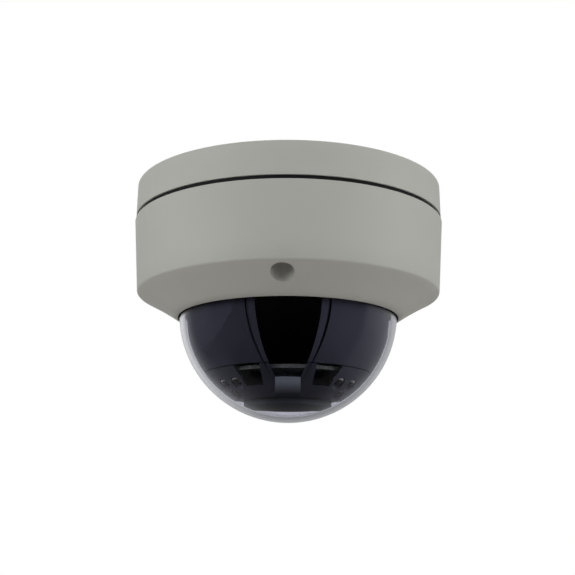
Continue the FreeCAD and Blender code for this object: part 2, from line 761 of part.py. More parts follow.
def inner_shroud():
    low = seam_z + cap_seam
    high = dome_z + shroud_top
    body = ball_zone(ball_r, low, high)
    core = cheeked_ball(shroud_in_r)
    for side in (0, 180):
        boss = turned(rod_x(pivot_boss_r, boss_in_x, land_x, dome_z), side)
        body = body.fuse(boss)
        core = core.cut(boss)
    shell = framed_front(body.cut(core), low, high)
    for side in (0, 180):
        shell = shell.cut(turned(rod_x(pivot_r + run_gap, boss_in_x, land_x, dome_z), side))
    return shell


def tilt_screws():
    shoulder = rod_x(pivot_r, boss_in_x, arm_out_x, dome_z)
    thread = rod_x(shank_r - thread_gap, tab_in_x - play, boss_in_x, dome_z)
    slot = block(arm_out_x - washer_t, arm_out_x, -pivot_r, pivot_r, dome_z - play * 3, dome_z + play * 3)
    screw = shoulder.fuse(thread).cut(slot)
    return [screw, turned(screw, 180)]


def camera_carrier():
    low = dome_z - carrier_t
    plate = tube(carrier_r, carrier_hole_r, low, dome_z)
    lug = block(carrier_r - tab_t, boss_in_x, -arm_half, arm_half, low, dome_z)
    tab = rod_x(arm_half, tab_in_x, boss_in_x, dome_z)
    carrier = joined([plate, lug, turned(lug, 180), tab, turned(tab, 180)])
    for side in (0, 180):
        carrier = carrier.cut(turned(rod_x(shank_r, tab_in_x - 2 * play, boss_in_x, dome_z), side))
    for x, y in stay_spots():
        carrier = carrier.cut(cylinder(small_screw_r + thread_gap, low, dome_z, x, y))
    return carrier


def core_clips():
    # Stepped clips over the core plate's edge. The rear one reaches further in as the stop.
    clips = []
    over_z = core_top_z + play
    for angle, reach in ((90, clip_over + stop_len + play * 3), (210, clip_over), (330, clip_over)):
        outer = carrier_r - play
        foot = block(core_plate_r + pan_gap, outer, -clip_half, clip_half, dome_z, over_z)
        top = block(core_plate_r - reach, outer, -clip_half / 2, clip_half / 2, over_z, over_z + clip_t)
        clips.append(turned(foot.fuse(top).removeSplitter(), angle))
    return clips


# ---- camera core -------------------------------------------------------------------
def core_post_spots():
    return [(x * core_post, y * core_post) for x in (-1, 1) for y in (-1, 1)]


def core_plate():
    plate = cylinder(core_plate_r, core_z, core_top_z).cut(cylinder(mount_tube_r + play, core_z, core_top_z))
    outer = core_plate_r - clip_over - play * 3
    tab = block(outer - stop_len, outer, -stop_w / 2, stop_w / 2, core_top_z, core_top_z + stop_h)
    return plate.fuse(turned(tab, -90)).removeSplitter()


def square_board(low):
    plate = slab(core_board, 0, 0, low, low + board_t)
    for x, y in core_post_spots():
        plate = plate.cut(cylinder(small_screw_r, low, low + board_t, x, y))
    return plate


def core_posts():
    lower = [cylinder(core_post_r, core_top_z, sensor_board_z, x, y) for x, y in core_post_spots()]
    low = sensor_board_z + board_t
    upper = [cylinder(core_post_r, low, processor_board_z, x, y) for x, y in core_post_spots()]
    return lower + upper


def core_screws():
    seat = processor_board_z + board_t
    return [
        hanging_screw(small_screw_r, small_head_r, small_head_h, x, y, seat, processor_board_z)
        for x, y in core_post_spots()
    ]


def image_sensor():
    return slab(sensor_side, 0, 0, sensor_board_z - sensor_t, sensor_board_z)


def lens_mount():
    tube_low = dome_z - mount_tube_low
    filter_low = core_top_z + filter_t
    half_len = mount_len / 2
    half_wide = mount_wide / 2
    body = block(-half_len, half_len, -half_wide, half_wide, core_top_z + play, sensor_board_z)
    body = body.fuse(cylinder(mount_tube_r, tube_low, core_top_z + play)).removeSplitter()
    body = body.cut(cylinder(barrel_r, tube_low, dome_z + barrel_top))
    body = body.cut(cylinder(window_r, dome_z + barrel_top, sensor_board_z))
    well = slab(sensor_side + 2 * filter_t, 0, 0, filter_low + filter_t + 2 * play + filter_t, sensor_board_z)
    slot_half = filter_wide / 2 + run_gap
    reach = filter_travel / 2 + window_span() + play
    slot = block(-reach, reach, -slot_half, slot_half, filter_low, filter_low + filter_t + 2 * run_gap)
    return body.cut(well).cut(slot)


def window_span():
    # Half length of the filter frame: two windows side by side, one slide apart.
    return filter_travel / 2 + window_r + window_rim


def filter_frame():
    low = core_top_z + filter_t + run_gap
    centre = filter_travel / 2
    half = filter_wide / 2
    frame = block(centre - window_span(), centre + window_span(), -half, half, low, low + filter_t)
    for x in (0, filter_travel):
        frame = frame.cut(cylinder(window_r - play, low, low + filter_t, x, 0))
    return frame


def filter_glass():
    low = core_top_z + filter_t + run_gap
    return [cylinder(window_r - play, low + play, low + filter_t - play, x, 0) for x in (0, filter_travel)]


def processor_chip():
    low = processor_board_z + board_t
    return slab(chip_side, -core_board / 8, -core_board / 8, low, low + chip_h)


def chip_cooler():
    low = processor_board_z + board_t + chip_h
    cooler = slab(chip_side, -core_board / 8, -core_board / 8, low, low + 4 * chip_h)
    pitch = chip_side / 6
    for step in range(-2, 3):
        x = -core_board / 8 + step * pitch
        groove = block(x - pitch / 3, x + pitch / 3, -core_board, core_board, low + chip_h, low + 4 * chip_h)
        cooler = cooler.cut(groove)
    return cooler


# ---- lens --------------------------------------------------------------------------
def lens_barrel():
    low = lamp_board_z - barrel_past
    body = cylinder(barrel_r, low, dome_z + barrel_top)
    for top, height in ((zoom_z, zoom_h), (focus_z, focus_h)):
        above = top + run_gap
        below = top - height - run_gap
        body = body.fuse(cylinder(collar_r, above, above + collar_t))
        body = body.fuse(cylinder(collar_r, below - collar_t, below))
    return body.removeSplitter().cut(cylinder(barrel_in_r, low, dome_z + barrel_top))


def lens_ring(top, height, angle):
    low = top - height
    ring = tube(lens_ring_r, barrel_r + run_gap, low, top)
    groove = cylinder(grip_r, low, top, lens_ring_r, 0)
    for cut in around(groove, grip_count, angle + 180 / grip_count):
        ring = ring.cut(cut)
    middle = low + height / 2
    x, y = at_angle(1, angle)
    return ring.cut(Part.makeCylinder(lock_r, lens_ring_r, Vector(0, 0, middle), Vector(x, y, 0)))


def lock_screw(top, height, angle):
    middle = top - height / 2
    x, y = at_angle(1, angle)
    way = Vector(x, y, 0)
    tip_r = barrel_r + 4 * run_gap
    head_start = lens_ring_r + lock_reach
    tip = Vector(x * tip_r, y * tip_r, middle)
    start = Vector(x * head_start, y * head_start, middle)
    shank = Part.makeCylinder(lock_r, head_start - tip_r, tip, way)
    return shank.fuse(Part.makeCylinder(lock_head_r, lock_head_h, start, way)).removeSplitter()


def zoom_cell():
    return tube(cell_r, cell_in_r, zoom_cell_z - zoom_cell_h, zoom_cell_z)


def focus_cell():
    front_low = front_top_z - front_cell_h
    pocket = front_low + front_lens_edge + front_lens_bulge
    body = cylinder(cell_r, front_top_z, focus_cell_z).fuse(cylinder(front_cell_r, front_low, front_top_z))
    body = body.removeSplitter().cut(cylinder(cell_in_r, front_low, focus_cell_z))
    return body.cut(cylinder(front_lens_r, front_low, pocket))


def lens_glass(radius, low, edge, bulge):
    # A glass element with a bulged lower face: a cylinder closed by a spherical cap.
    cap_r = (radius ** 2 + bulge ** 2) / (2 * bulge)
    cap = ball(cap_r, low - bulge + cap_r).common(cylinder(radius, low - bulge, low))
    return cylinder(radius, low, low + edge).fuse(cap).removeSplitter()


def front_lens():
    front_low = front_top_z - front_cell_h
    return lens_glass(front_lens_r, front_low + front_lens_bulge, front_lens_edge, front_lens_bulge)


def zoom_lens():
    low = zoom_cell_z - zoom_cell_h + small_lens_bulge
    return lens_glass(cell_in_r, low, small_lens_edge, small_lens_bulge)


# ---- lamp board and rubber ring ----------------------------------------------------
def both_sides(radius, angles):
    return [at_angle(radius, -90 + side * angle) for angle in angles for side in (-1, 1)]


def stay_spots():
    return both_sides(stay_circle_r, stay_angles)


def lamp_spots():
    return both_sides(outer_lamp_r, outer_lamps) + both_sides(inner_lamp_r, inner_lamps)


def lamp_board():
    plate = tube(lamp_board_r, lamp_hole_r, lamp_board_z, seam_z)
    for x, y in stay_spots():
        plate = plate.cut(cylinder(small_screw_r + thread_gap, lamp_board_z, seam_z, x, y))
    return plate


def pane(way):
    # One of the two windows beside the mouth, as a prism through the ball's front.
    low = seam_z - pane_h
    corners = [
        Vector(way * pane_top_in, 0, seam_z), Vector(way * pane_top_out, 0, seam_z),
        Vector(way * pane_low_out, 0, low), Vector(way * pane_low_in, 0, low),
    ]
    return Part.Face(Part.makePolygon(corners + corners[:1])).extrude(Vector(0, -dome_r, 0))


def sensor_slot(gap):
    half = sensor_half + gap
    return block(-half, half, -dome_r, 0, cap_low_z, seam_z - mouth_tip)


def lamp_cover():
    zone = ball_zone(ball_r, cap_low_z, seam_z)
    zone = zone.cut(ball_zone(shroud_in_r, cap_low_z + cover_ledge_t, seam_z))
    ledge_r = lamp_board_r - cover_ledge_w
    ledge = ball_zone(shroud_in_r + play, lamp_board_z - cover_ledge_t, lamp_board_z)
    shell = zone.fuse(ledge.cut(cylinder(ledge_r, cap_low_z, seam_z)))
    shell = framed_front(shell, cap_low_z, seam_z)
    shell = shell.cut(cylinder(hood_r + play, cap_low_z, seam_z))
    for opening in (pane(1), pane(-1), sensor_slot(run_gap)):
        shell = shell.cut(opening)
    for x, y in lamp_spots():
        shell = shell.cut(cylinder(lamp_r + lamp_hole_gap, cap_low_z, seam_z, x, y))
    return shell


def sensor_window():
    # A frosted piece of the ball's surface in front of the light sensor, with a rim behind the cover.
    inside = ball(shroud_in_r, dome_z)
    back = ball(shroud_in_r - sensor_flange_t, dome_z)
    front = ball_zone(ball_r, cap_low_z, seam_z).common(sensor_slot(0)).cut(inside)
    level = cap_low_z + cover_ledge_t + run_gap
    above = block(-dome_r, dome_r, -dome_r, 0, level, seam_z - mouth_tip)
    rim = sensor_slot(sensor_flange).common(ball(shroud_in_r - run_gap, dome_z)).cut(back).common(above)
    link = sensor_slot(0).common(ball(shroud_in_r + play, dome_z)).cut(back).common(above)
    return front.fuse(rim).fuse(link).removeSplitter()


def lamp_stays():
    high = dome_z - carrier_t
    stays = []
    for x, y in stay_spots():
        bore = cylinder(small_screw_r + thread_gap, seam_z, seam_z + small_screw_reach, x, y)
        stays.append(cylinder(stay_r, seam_z, high, x, y).cut(bore))
    return stays


def lamp_screws():
    tip = seam_z + small_screw_reach - play
    return [
        capped_screw(small_screw_r, small_head_r, small_head_h, x, y, lamp_board_z, tip)
        for x, y in stay_spots()
    ]


def infrared_leds():
    leds = []
    for x, y in lamp_spots():
        surface = math.sqrt(ball_r ** 2 - x ** 2 - y ** 2)
        low = dome_z - surface + lamp_tip_in + lamp_r
        bulb = Part.makeSphere(lamp_r)
        bulb.translate(Vector(x, y, low))
        bulb = bulb.common(cylinder(lamp_r + play, low - lamp_r - play, low, x, y))
        leds.append(cylinder(lamp_r, low, lamp_board_z, x, y).fuse(bulb).removeSplitter())
    return leds


def light_sensor():
    return cylinder(photocell_r, lamp_board_z - photocell_h, lamp_board_z, 0, -stay_circle_r)


def lens_hood():
    # A rubber ring whose lower edge is rounded to follow the inside of the dome.
    def follow(radius):
        return Vector(radius, 0, dome_z - math.sqrt(hood_r_limit ** 2 - radius ** 2))

    top_in = Vector(hood_hole_r, 0, lamp_board_z)
    top_out = Vector(hood_r, 0, lamp_board_z)
    edge = follow(hood_r)
    foot = follow(hood_foot_r)
    foot_in = Vector(hood_hole_r, 0, foot.z)
    rounding = Part.Arc(edge, follow((hood_r + hood_foot_r) / 2), foot).toShape()
    return spun([
        Part.LineSegment(top_in, top_out).toShape(), Part.LineSegment(top_out, edge).toShape(), rounding,
        Part.LineSegment(foot, foot_in).toShape(), Part.LineSegment(foot_in, top_in).toShape(),
    ])


# ---- inner leads -------------------------------------------------------------------
def lead(points, radius, bend):
    # A round lead along straight runs joined by tangent arcs of one bend radius.
    edges = []
    start = points[0]
    for before, corner, after in zip(points, points[1:], points[2:]):
        back = (before - corner).normalize()
        ahead = (after - corner).normalize()
        half = back.getAngle(ahead) / 2
        trim = bend / math.tan(half)
        centre = corner + (back + ahead).normalize() * (bend / math.sin(half))
        middle = centre + (corner - centre).normalize() * bend
        arc_start = corner + back * trim
        arc_end = corner + ahead * trim
        edges.append(Part.LineSegment(start, arc_start).toShape())
        edges.append(Part.Arc(arc_start, middle, arc_end).toShape())
        start = arc_end
    edges.append(Part.LineSegment(start, points[-1]).toShape())
    profile = Part.Wire(Part.makeCircle(radius, points[0], points[1] - points[0]))
    return Part.Wire(edges).makePipeShell([profile], True, False)


def camera_lead():
    plug_high = plug_size[2]
    top = base_board_z - plug_high
    low = processor_board_z + board_t + plug_high
    middle = (top + low) / 2
    rise = (top - low) / 5
    return lead([
        Vector(0, base_plug_y, top), Vector(0, base_plug_y, middle + rise),
        Vector(0, core_plug_y, middle - rise), Vector(0, core_plug_y, low),
    ], lead_r, lead_bend_r)


def lamp_lead():
    # From the sensor board's edge, out past the carrier's rim and back to the lamp board.
    edge = core_board / 2
    high = sensor_board_z + board_t / 2
    foot = seam_z
    return lead([
        Vector(edge, lamp_lead_y, high), Vector(lamp_lead_x(), lamp_lead_y, high),
        Vector(lamp_lead_x(), lamp_lead_y, dome_z - carrier_t * 4),
        Vector(lamp_foot_x(), lamp_lead_y, foot + lamp_lead_bend_r * 2),
        Vector(lamp_foot_x(), lamp_lead_y, foot),
    ], lamp_lead_r, lamp_lead_bend_r)


def lamp_lead_x():
    return math.sqrt(lamp_lead_out ** 2 - lamp_lead_y ** 2)


def lamp_foot_x():
    return math.sqrt(stay_circle_r ** 2 - lamp_lead_y ** 2)


# ---- every node --------------------------------------------------------------------
os.makedirs("parts", exist_ok=True)

lock_angle = -90 + lock_turn
nodes = {
    "mounting_base": mounting_base(),
    "cable_grommet": cable_grommet(),
    "base_gasket": base_gasket(),
    "main_board": board(1),
    "power_board": board(-1),
    "board_screws": board_screws(),
    "power_capacitors": power_capacitors(),
    "power_terminal": power_terminal(),
    "main_chips": main_chips(),
    "base_plug": plug(0, base_plug_y, base_board_z - plug_size[2], gasket_t, False),
    "reset_switch": reset_switch(),
    "reset_button": reset_button(),
    "pan_ring": pan_ring(),
    "pan_ring_screws": pan_ring_screws(),
    "pan_keepers": pan_keepers(),
    "keeper_screws": keeper_screws(),
    "camera_lead": camera_lead(),
    "cover_shell": cover_shell(),
    "cover_screws": cover_screws(),
    "screw_retainers": screw_retainers(),
    "dome_bubble": dome_bubble(),
    "dome_gasket": dome_gasket(),
    "clamp_ring": clamp_ring(),
    "clamp_screws": clamp_screws(),
    "pan_yoke": pan_yoke(),
    "inner_shroud": inner_shroud(),
    "tilt_washers": tilt_washers(),
    "tilt_screws": tilt_screws(),
    "camera_carrier": camera_carrier(),
    "core_clips": core_clips(),
    "lamp_board": lamp_board(),
    "lamp_cover": lamp_cover(),
    "sensor_window": sensor_window(),
    "lamp_stays": lamp_stays(),
    "lamp_screws": lamp_screws(),
    "infrared_leds": infrared_leds(),
    "light_sensor": light_sensor(),
    "lens_hood": lens_hood(),
    "lamp_lead": lamp_lead(),
    "core_plate": core_plate(),
    "sensor_board": square_board(sensor_board_z),
    "processor_board": square_board(processor_board_z),
    "core_posts": core_posts(),
    "core_screws": core_screws(),
    "image_sensor": image_sensor(),
    "lens_mount": lens_mount(),
    "processor_chip": processor_chip(),
    "chip_cooler": chip_cooler(),
    "core_plug": plug(0, core_plug_y, processor_board_z + board_t, gasket_t, True),
    "lens_barrel": lens_barrel(),
    "filter_frame": filter_frame(),
    "filter_glass": filter_glass(),
    "zoom_ring": lens_ring(zoom_z, zoom_h, lock_angle),
    "zoom_lock_screw": lock_screw(zoom_z, zoom_h, lock_angle),
    "zoom_cell": zoom_cell(),
    "zoom_lens": zoom_lens(),
    "focus_ring": lens_ring(focus_z, focus_h, lock_angle),
    "focus_lock_screw": lock_screw(focus_z, focus_h, lock_angle),
    "focus_cell": focus_cell(),
    "front_lens": front_lens(),
}

for node, shape in nodes.items():
    save(node, shape)

print(len(nodes), "nodes")
print("overall height", round(dome_r - dome_z, 2), "mm, diameter", round(2 * cover_r, 2), "mm")
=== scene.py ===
import json
import math

import bpy
from mathutils import Matrix, Vector

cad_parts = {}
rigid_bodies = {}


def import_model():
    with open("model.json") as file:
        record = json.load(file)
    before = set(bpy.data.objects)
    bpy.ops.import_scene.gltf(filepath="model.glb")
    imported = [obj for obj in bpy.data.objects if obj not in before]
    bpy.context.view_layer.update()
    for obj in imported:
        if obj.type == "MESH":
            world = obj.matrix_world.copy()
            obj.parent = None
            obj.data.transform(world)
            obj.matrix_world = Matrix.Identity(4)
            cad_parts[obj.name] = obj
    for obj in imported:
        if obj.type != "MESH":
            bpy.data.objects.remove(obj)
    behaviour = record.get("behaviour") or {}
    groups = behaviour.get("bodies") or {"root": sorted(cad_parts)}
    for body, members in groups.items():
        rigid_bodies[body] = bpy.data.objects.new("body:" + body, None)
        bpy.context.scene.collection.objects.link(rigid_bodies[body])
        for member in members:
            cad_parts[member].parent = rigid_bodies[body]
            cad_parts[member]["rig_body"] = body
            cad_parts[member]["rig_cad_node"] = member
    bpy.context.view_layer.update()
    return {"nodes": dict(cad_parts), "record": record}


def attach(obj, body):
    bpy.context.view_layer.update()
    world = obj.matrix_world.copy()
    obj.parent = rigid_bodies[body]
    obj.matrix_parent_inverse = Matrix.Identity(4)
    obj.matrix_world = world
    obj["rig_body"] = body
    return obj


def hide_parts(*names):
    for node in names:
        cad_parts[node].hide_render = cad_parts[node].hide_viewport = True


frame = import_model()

nodes = frame["nodes"]
print("frame loaded:", len(nodes), "nodes")


# small helpers for working as by hand
def clearSelection():
    if bpy.context.object is not None and bpy.context.object.mode != "OBJECT":
        bpy.ops.object.mode_set(mode="OBJECT")
    bpy.ops.object.select_all(action="DESELECT")


def pick(piece):
    clearSelection()
    piece.select_set(True)
    bpy.context.view_layer.objects.active = piece


def settle(piece):
    # place and turn go into the mesh, so that the object stands at the origin
    pick(piece)
    bpy.ops.object.transform_apply(location=True, rotation=True, scale=True)


def applyModifiers(piece):
    pick(piece)
    for modifier in list(piece.modifiers):
        bpy.ops.object.modifier_apply(modifier=modifier.name)


def smoothBy(piece, degrees):
    pick(piece)
    bpy.ops.object.shade_smooth_by_angle(angle=math.radians(degrees))


def softEdges(piece, width, segments=3, degrees=35):
    bevel = piece.modifiers.new("softEdges", "BEVEL")
    bevel.width = width
    bevel.segments = segments
    bevel.limit_method = "ANGLE"
    bevel.angle_limit = math.radians(degrees)
    applyModifiers(piece)
    smoothBy(piece, degrees)


def startPoint(name, place):
    # one loose point, from a plane merged to its middle
    clearSelection()
    bpy.ops.mesh.primitive_plane_add(size=0.001, location=(0, 0, 0))
    piece = bpy.context.object
    piece.name = name
    piece.data.name = name
    bpy.ops.object.mode_set(mode="EDIT")
    bpy.ops.mesh.select_all(action="SELECT")
    bpy.ops.mesh.merge(type="CENTER")
    bpy.ops.transform.translate(value=place)
    return piece


def spunPiece(name, outline, steps):
    # outline is (radius, height) pairs; it is drawn by extruding a point round to its start, then spun
    piece = startPoint(name, (outline[0][0], 0, outline[0][1]))
    here = outline[0]
    for there in outline[1:] + outline[:1]:
        step = (there[0] - here[0], 0, there[1] - here[1])
        bpy.ops.mesh.extrude_region_move(TRANSFORM_OT_translate={"value": step})
        here = there
    bpy.ops.mesh.select_all(action="SELECT")
    bpy.ops.mesh.spin(steps=steps, angle=2 * math.pi, center=(0, 0, 0), axis=(0, 0, 1))
    bpy.ops.mesh.select_all(action="SELECT")
    bpy.ops.mesh.remove_doubles(threshold=0.000002)
    bpy.ops.mesh.delete_loose(use_verts=True, use_edges=True, use_faces=False)
    bpy.ops.mesh.select_all(action="SELECT")
    bpy.ops.mesh.normals_make_consistent(inside=False)
    bpy.ops.object.mode_set(mode="OBJECT")
    return piece


def blockPiece(name, middle, size, soften):
    # a small block with all its edges rounded
    clearSelection()
    bpy.ops.mesh.primitive_cube_add(size=1, location=middle, scale=size)
    piece = bpy.context.object
    piece.name = name
    piece.data.name = name
    settle(piece)
    softEdges(piece, soften, 2)
    return piece


def cutPiece(name, outline, width):
    # outline is (y, z) pairs drawn by extruding a point; the filled profile is extruded along x
    piece = startPoint(name, (-width / 2, outline[0][0], outline[0][1]))
    here = outline[0]
    for there in outline[1:] + outline[:1]:
        step = (0, there[0] - here[0], there[1] - here[1])
        bpy.ops.mesh.extrude_region_move(TRANSFORM_OT_translate={"value": step})
        here = there
    bpy.ops.mesh.select_all(action="SELECT")
    bpy.ops.mesh.remove_doubles(threshold=0.000001)
    bpy.ops.mesh.select_all(action="SELECT")
    bpy.ops.mesh.edge_face_add()
    bpy.ops.mesh.extrude_region_move(TRANSFORM_OT_translate={"value": (width, 0, 0)})
    bpy.ops.mesh.select_all(action="SELECT")
    bpy.ops.mesh.normals_make_consistent(inside=False)
    bpy.ops.object.mode_set(mode="OBJECT")
    return piece


def copiesAt(name, piece, places, slot, body):
    # places are (x, y, z, degrees); the piece that is copied is removed
    twins = [placedCopy(piece, place[:3], place[3]) for place in places]
    bpy.data.objects.remove(piece)
    return dress(joinPieces(name, twins), slot, body)


def arcOutline(radius, centreHeight, fromDegrees, toDegrees, count):
    # points on a circle about the axis, angles measured down from the level plane
    points = []
    for index in range(count + 1):
        angle = math.radians(fromDegrees + (toDegrees - fromDegrees) * index / count)
        points.append((radius * math.cos(angle), centreHeight - radius * math.sin(angle)))
    return points


def smoothedCopy(node, name, degrees):
    # a merged copy of a node with its rounds shaded smooth
    clearSelection()
    piece = nodes[node].copy()
    piece.data = nodes[node].data.copy()
    piece.name = name
    piece.data.name = name
    piece.parent = None
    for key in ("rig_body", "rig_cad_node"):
        if key in piece:
            del piece[key]
    bpy.context.scene.collection.objects.link(piece)
    pick(piece)
    bpy.ops.object.mode_set(mode="EDIT")
    bpy.ops.mesh.select_all(action="SELECT")
    bpy.ops.mesh.remove_doubles(threshold=0.000005)
    bpy.ops.mesh.select_all(action="DESELECT")
    bpy.ops.object.mode_set(mode="OBJECT")
    smoothBy(piece, degrees)
    return piece


def trueRounds(piece, balls, posts=(), slack=0.00006, upright=0.2):
    # faces that lie on a ball or round an upright post are shaded by that ball or post
    mesh = piece.data
    normals = [Vector(corner.vector) for corner in mesh.corner_normals]
    for face in mesh.polygons:
        places = [mesh.vertices[index].co for index in face.vertices]
        for centre, radius in balls:
            if all(abs((place - centre).length - radius) < slack for place in places):
                side = 1 if face.normal.dot(face.center - centre) > 0 else -1
                for corner in face.loop_indices:
                    away = mesh.vertices[mesh.loops[corner].vertex_index].co - centre
                    normals[corner] = side * away.normalized()
        for centre, radius in posts:
            flat = [Vector((place.x - centre[0], place.y - centre[1], 0)) for place in places]
            onPost = all(abs(away.length - radius) < slack for away in flat)
            if onPost and abs(face.normal.z) < upright:
                side = 1 if face.normal.dot(sum(flat, Vector())) > 0 else -1
                for corner, away in zip(face.loop_indices, flat):
                    normals[corner] = side * away.normalized()
    mesh.normals_split_custom_set(normals)


def joinPieces(name, pieces):
    clearSelection()
    for piece in pieces:
        piece.select_set(True)
    bpy.context.view_layer.objects.active = pieces[0]
    if len(pieces) > 1:
        bpy.ops.object.join()
    whole = bpy.context.object
    whole.name = name
    whole.data.name = name
    return whole


def placedCopy(piece, place, turn):
    twin = piece.copy()
    twin.data = piece.data.copy()
    bpy.context.scene.collection.objects.link(twin)
    turned = Matrix.Rotation(math.radians(turn), 4, "Z")
    twin.data.transform(Matrix.Translation(Vector(place)) @ turned)
    return twin


def around(radius, degrees):
    angle = math.radians(degrees)
    return (radius * math.cos(angle), radius * math.sin(angle))


# shader groups shared by the materials
def newGroup(name, inputs, outputs):
    tree = bpy.data.node_groups.new(name, "ShaderNodeTree")
    for label, kind, value in inputs:
        socket = tree.interface.new_socket(name=label, in_out="INPUT", socket_type=kind)
        if value is not None:
            socket.default_value = value
    for label, kind in outputs:
        tree.interface.new_socket(name=label, in_out="OUTPUT", socket_type=kind)
    return tree, tree.nodes.new("NodeGroupInput"), tree.nodes.new("NodeGroupOutput")


def addNoise(tree, vector, scale, detail, roughness=0.55):
    noise = tree.nodes.new("ShaderNodeTexNoise")
    noise.inputs["Detail"].default_value = detail
    noise.inputs["Roughness"].default_value = roughness
    tree.links.new(vector, noise.inputs["Vector"])
    if isinstance(scale, float):
        noise.inputs["Scale"].default_value = scale
    else:
        tree.links.new(scale, noise.inputs["Scale"])
    return noise.outputs["Fac"]


def addRange(tree, value, low, high, toLow, toHigh):
    spread = tree.nodes.new("ShaderNodeMapRange")
    tree.links.new(value, spread.inputs["Value"])
    ends = (("From Min", low), ("From Max", high), ("To Min", toLow), ("To Max", toHigh))
    for label, part in ends:
        if isinstance(part, (int, float)):
            spread.inputs[label].default_value = part
        else:
            tree.links.new(part, spread.inputs[label])
    return spread.outputs["Result"]


def addMix(tree, factor, first, second):
    mix = tree.nodes.new("ShaderNodeMix")
    mix.data_type = "RGBA"
    tree.links.new(factor, mix.inputs["Factor"])
    for socket, part in ((mix.inputs["A"], first), (mix.inputs["B"], second)):
        if isinstance(part, tuple):
            socket.default_value = part
        else:
            tree.links.new(part, socket)
    return mix.outputs["Result"]


def addMath(tree, operation, first, second):
    worked = tree.nodes.new("ShaderNodeMath")
    worked.operation = operation
    for socket, part in ((worked.inputs[0], first), (worked.inputs[1], second)):
        if isinstance(part, (int, float)):
            socket.default_value = part
        else:
            tree.links.new(part, socket)
    return worked.outputs[0]


surfaceSockets = [
    ("Vector", "NodeSocketVector", None),
    ("Color", "NodeSocketColor", (0.5, 0.5, 0.5, 1)),
    ("Shade", "NodeSocketColor", (0.4, 0.4, 0.4, 1)),
    ("Mottle", "NodeSocketFloat", 30.0),
    ("Grain", "NodeSocketFloat", 1500.0),
    ("Rough Low", "NodeSocketFloat", 0.4),
    ("Rough High", "NodeSocketFloat", 0.6),
]
surfaceOutputs = [
    ("Color", "NodeSocketColor"),
    ("Roughness", "NodeSocketFloat"),
    ("Height", "NodeSocketFloat"),
]


def addShares(tree, first, firstShare, second, secondShare):
    firstPart = addMath(tree, "MULTIPLY", first, firstShare)
    return addMath(tree, "ADD", firstPart, addMath(tree, "MULTIPLY", second, secondShare))


def linkColor(tree, start, end, tone):
    tree.links.new(addMix(tree, tone, start.outputs["Color"], start.outputs["Shade"]), end.inputs["Color"])


def linkRough(tree, start, end, value, low, high):
    rough = addRange(tree, value, low, high, start.outputs["Rough Low"], start.outputs["Rough High"])
    tree.links.new(rough, end.inputs["Roughness"])


coatShares = {"speckScale": 0.45, "speckFrom": 0.08, "speckTo": 0.2, "speck": 0.55, "pit": 0.3,
              "mottleFrom": 0.35, "mottleTo": 0.65, "mottle": 0.6, "peel": 0.25, "peelRough": 0.5,
              "roughFrom": 0.4, "roughTo": 1.1}


def buildCoatGrain():
    # stoved coat: fine orange peel, sparse tiny specks, faint mottling
    tree, start, end = newGroup("coatGrain", surfaceSockets, surfaceOutputs)
    vector = start.outputs["Vector"]
    broad = addNoise(tree, vector, start.outputs["Mottle"], 3.0)
    peel = addNoise(tree, vector, start.outputs["Grain"], 2.0)
    speck = tree.nodes.new("ShaderNodeTexVoronoi")
    tree.links.new(vector, speck.inputs["Vector"])
    speckScale = addMath(tree, "MULTIPLY", start.outputs["Grain"], coatShares["speckScale"])
    tree.links.new(speckScale, speck.inputs["Scale"])
    dots = addRange(tree, speck.outputs["Distance"], coatShares["speckFrom"], coatShares["speckTo"], 1.0, 0.0)
    tone = addRange(tree, broad, coatShares["mottleFrom"], coatShares["mottleTo"], 0.0, coatShares["mottle"])
    tone = addMath(tree, "ADD", tone, addMath(tree, "MULTIPLY", peel, coatShares["peel"]))
    tone = addMath(tree, "MAXIMUM", tone, addMath(tree, "MULTIPLY", dots, coatShares["speck"]))
    linkColor(tree, start, end, tone)
    rough = addMath(tree, "ADD", broad, addMath(tree, "MULTIPLY", peel, coatShares["peelRough"]))
    linkRough(tree, start, end, rough, coatShares["roughFrom"], coatShares["roughTo"])
    pits = addMath(tree, "MULTIPLY", dots, coatShares["pit"])
    tree.links.new(addMath(tree, "SUBTRACT", peel, pits), end.inputs["Height"])
    return tree


mouldShares = {"scuffStretch": (1.0, 1.6, 9.0), "scuffTurn": (0.3, 0.5, 0.2), "scuffScale": 260.0,
               "scuffFrom": 0.62, "scuffTo": 0.8, "broad": 0.7, "fine": 0.3, "scuff": 0.9,
               "scuffRough": 0.4, "roughFrom": 0.3, "roughTo": 1.0}


def buildMouldGrain():
    # moulded plastic or rubber: spark-eroded grain and light scuffs
    tree, start, end = newGroup("mouldGrain", surfaceSockets, surfaceOutputs)
    vector = start.outputs["Vector"]
    broad = addNoise(tree, vector, start.outputs["Mottle"], 4.0)
    fine = addNoise(tree, vector, start.outputs["Grain"], 1.0)
    stretch = tree.nodes.new("ShaderNodeMapping")
    stretch.inputs["Scale"].default_value = mouldShares["scuffStretch"]
    stretch.inputs["Rotation"].default_value = mouldShares["scuffTurn"]
    tree.links.new(vector, stretch.inputs["Vector"])
    scuff = addRange(tree, addNoise(tree, stretch.outputs["Vector"], mouldShares["scuffScale"], 4.0),
                     mouldShares["scuffFrom"], mouldShares["scuffTo"], 0.0, 1.0)
    tone = addShares(tree, broad, mouldShares["broad"], fine, mouldShares["fine"])
    tone = addMath(tree, "MAXIMUM", tone, addMath(tree, "MULTIPLY", scuff, mouldShares["scuff"]))
    linkColor(tree, start, end, tone)
    rough = addMath(tree, "ADD", broad, addMath(tree, "MULTIPLY", scuff, mouldShares["scuffRough"]))
    linkRough(tree, start, end, rough, mouldShares["roughFrom"], mouldShares["roughTo"])
    tree.links.new(fine, end.inputs["Height"])
    return tree


metalShares = {"lineStretch": (0.12, 0.12, 1.0), "lineRough": 0.7, "broad": 0.6, "lines": 0.4,
               "roughFrom": 0.6, "roughTo": 1.4}


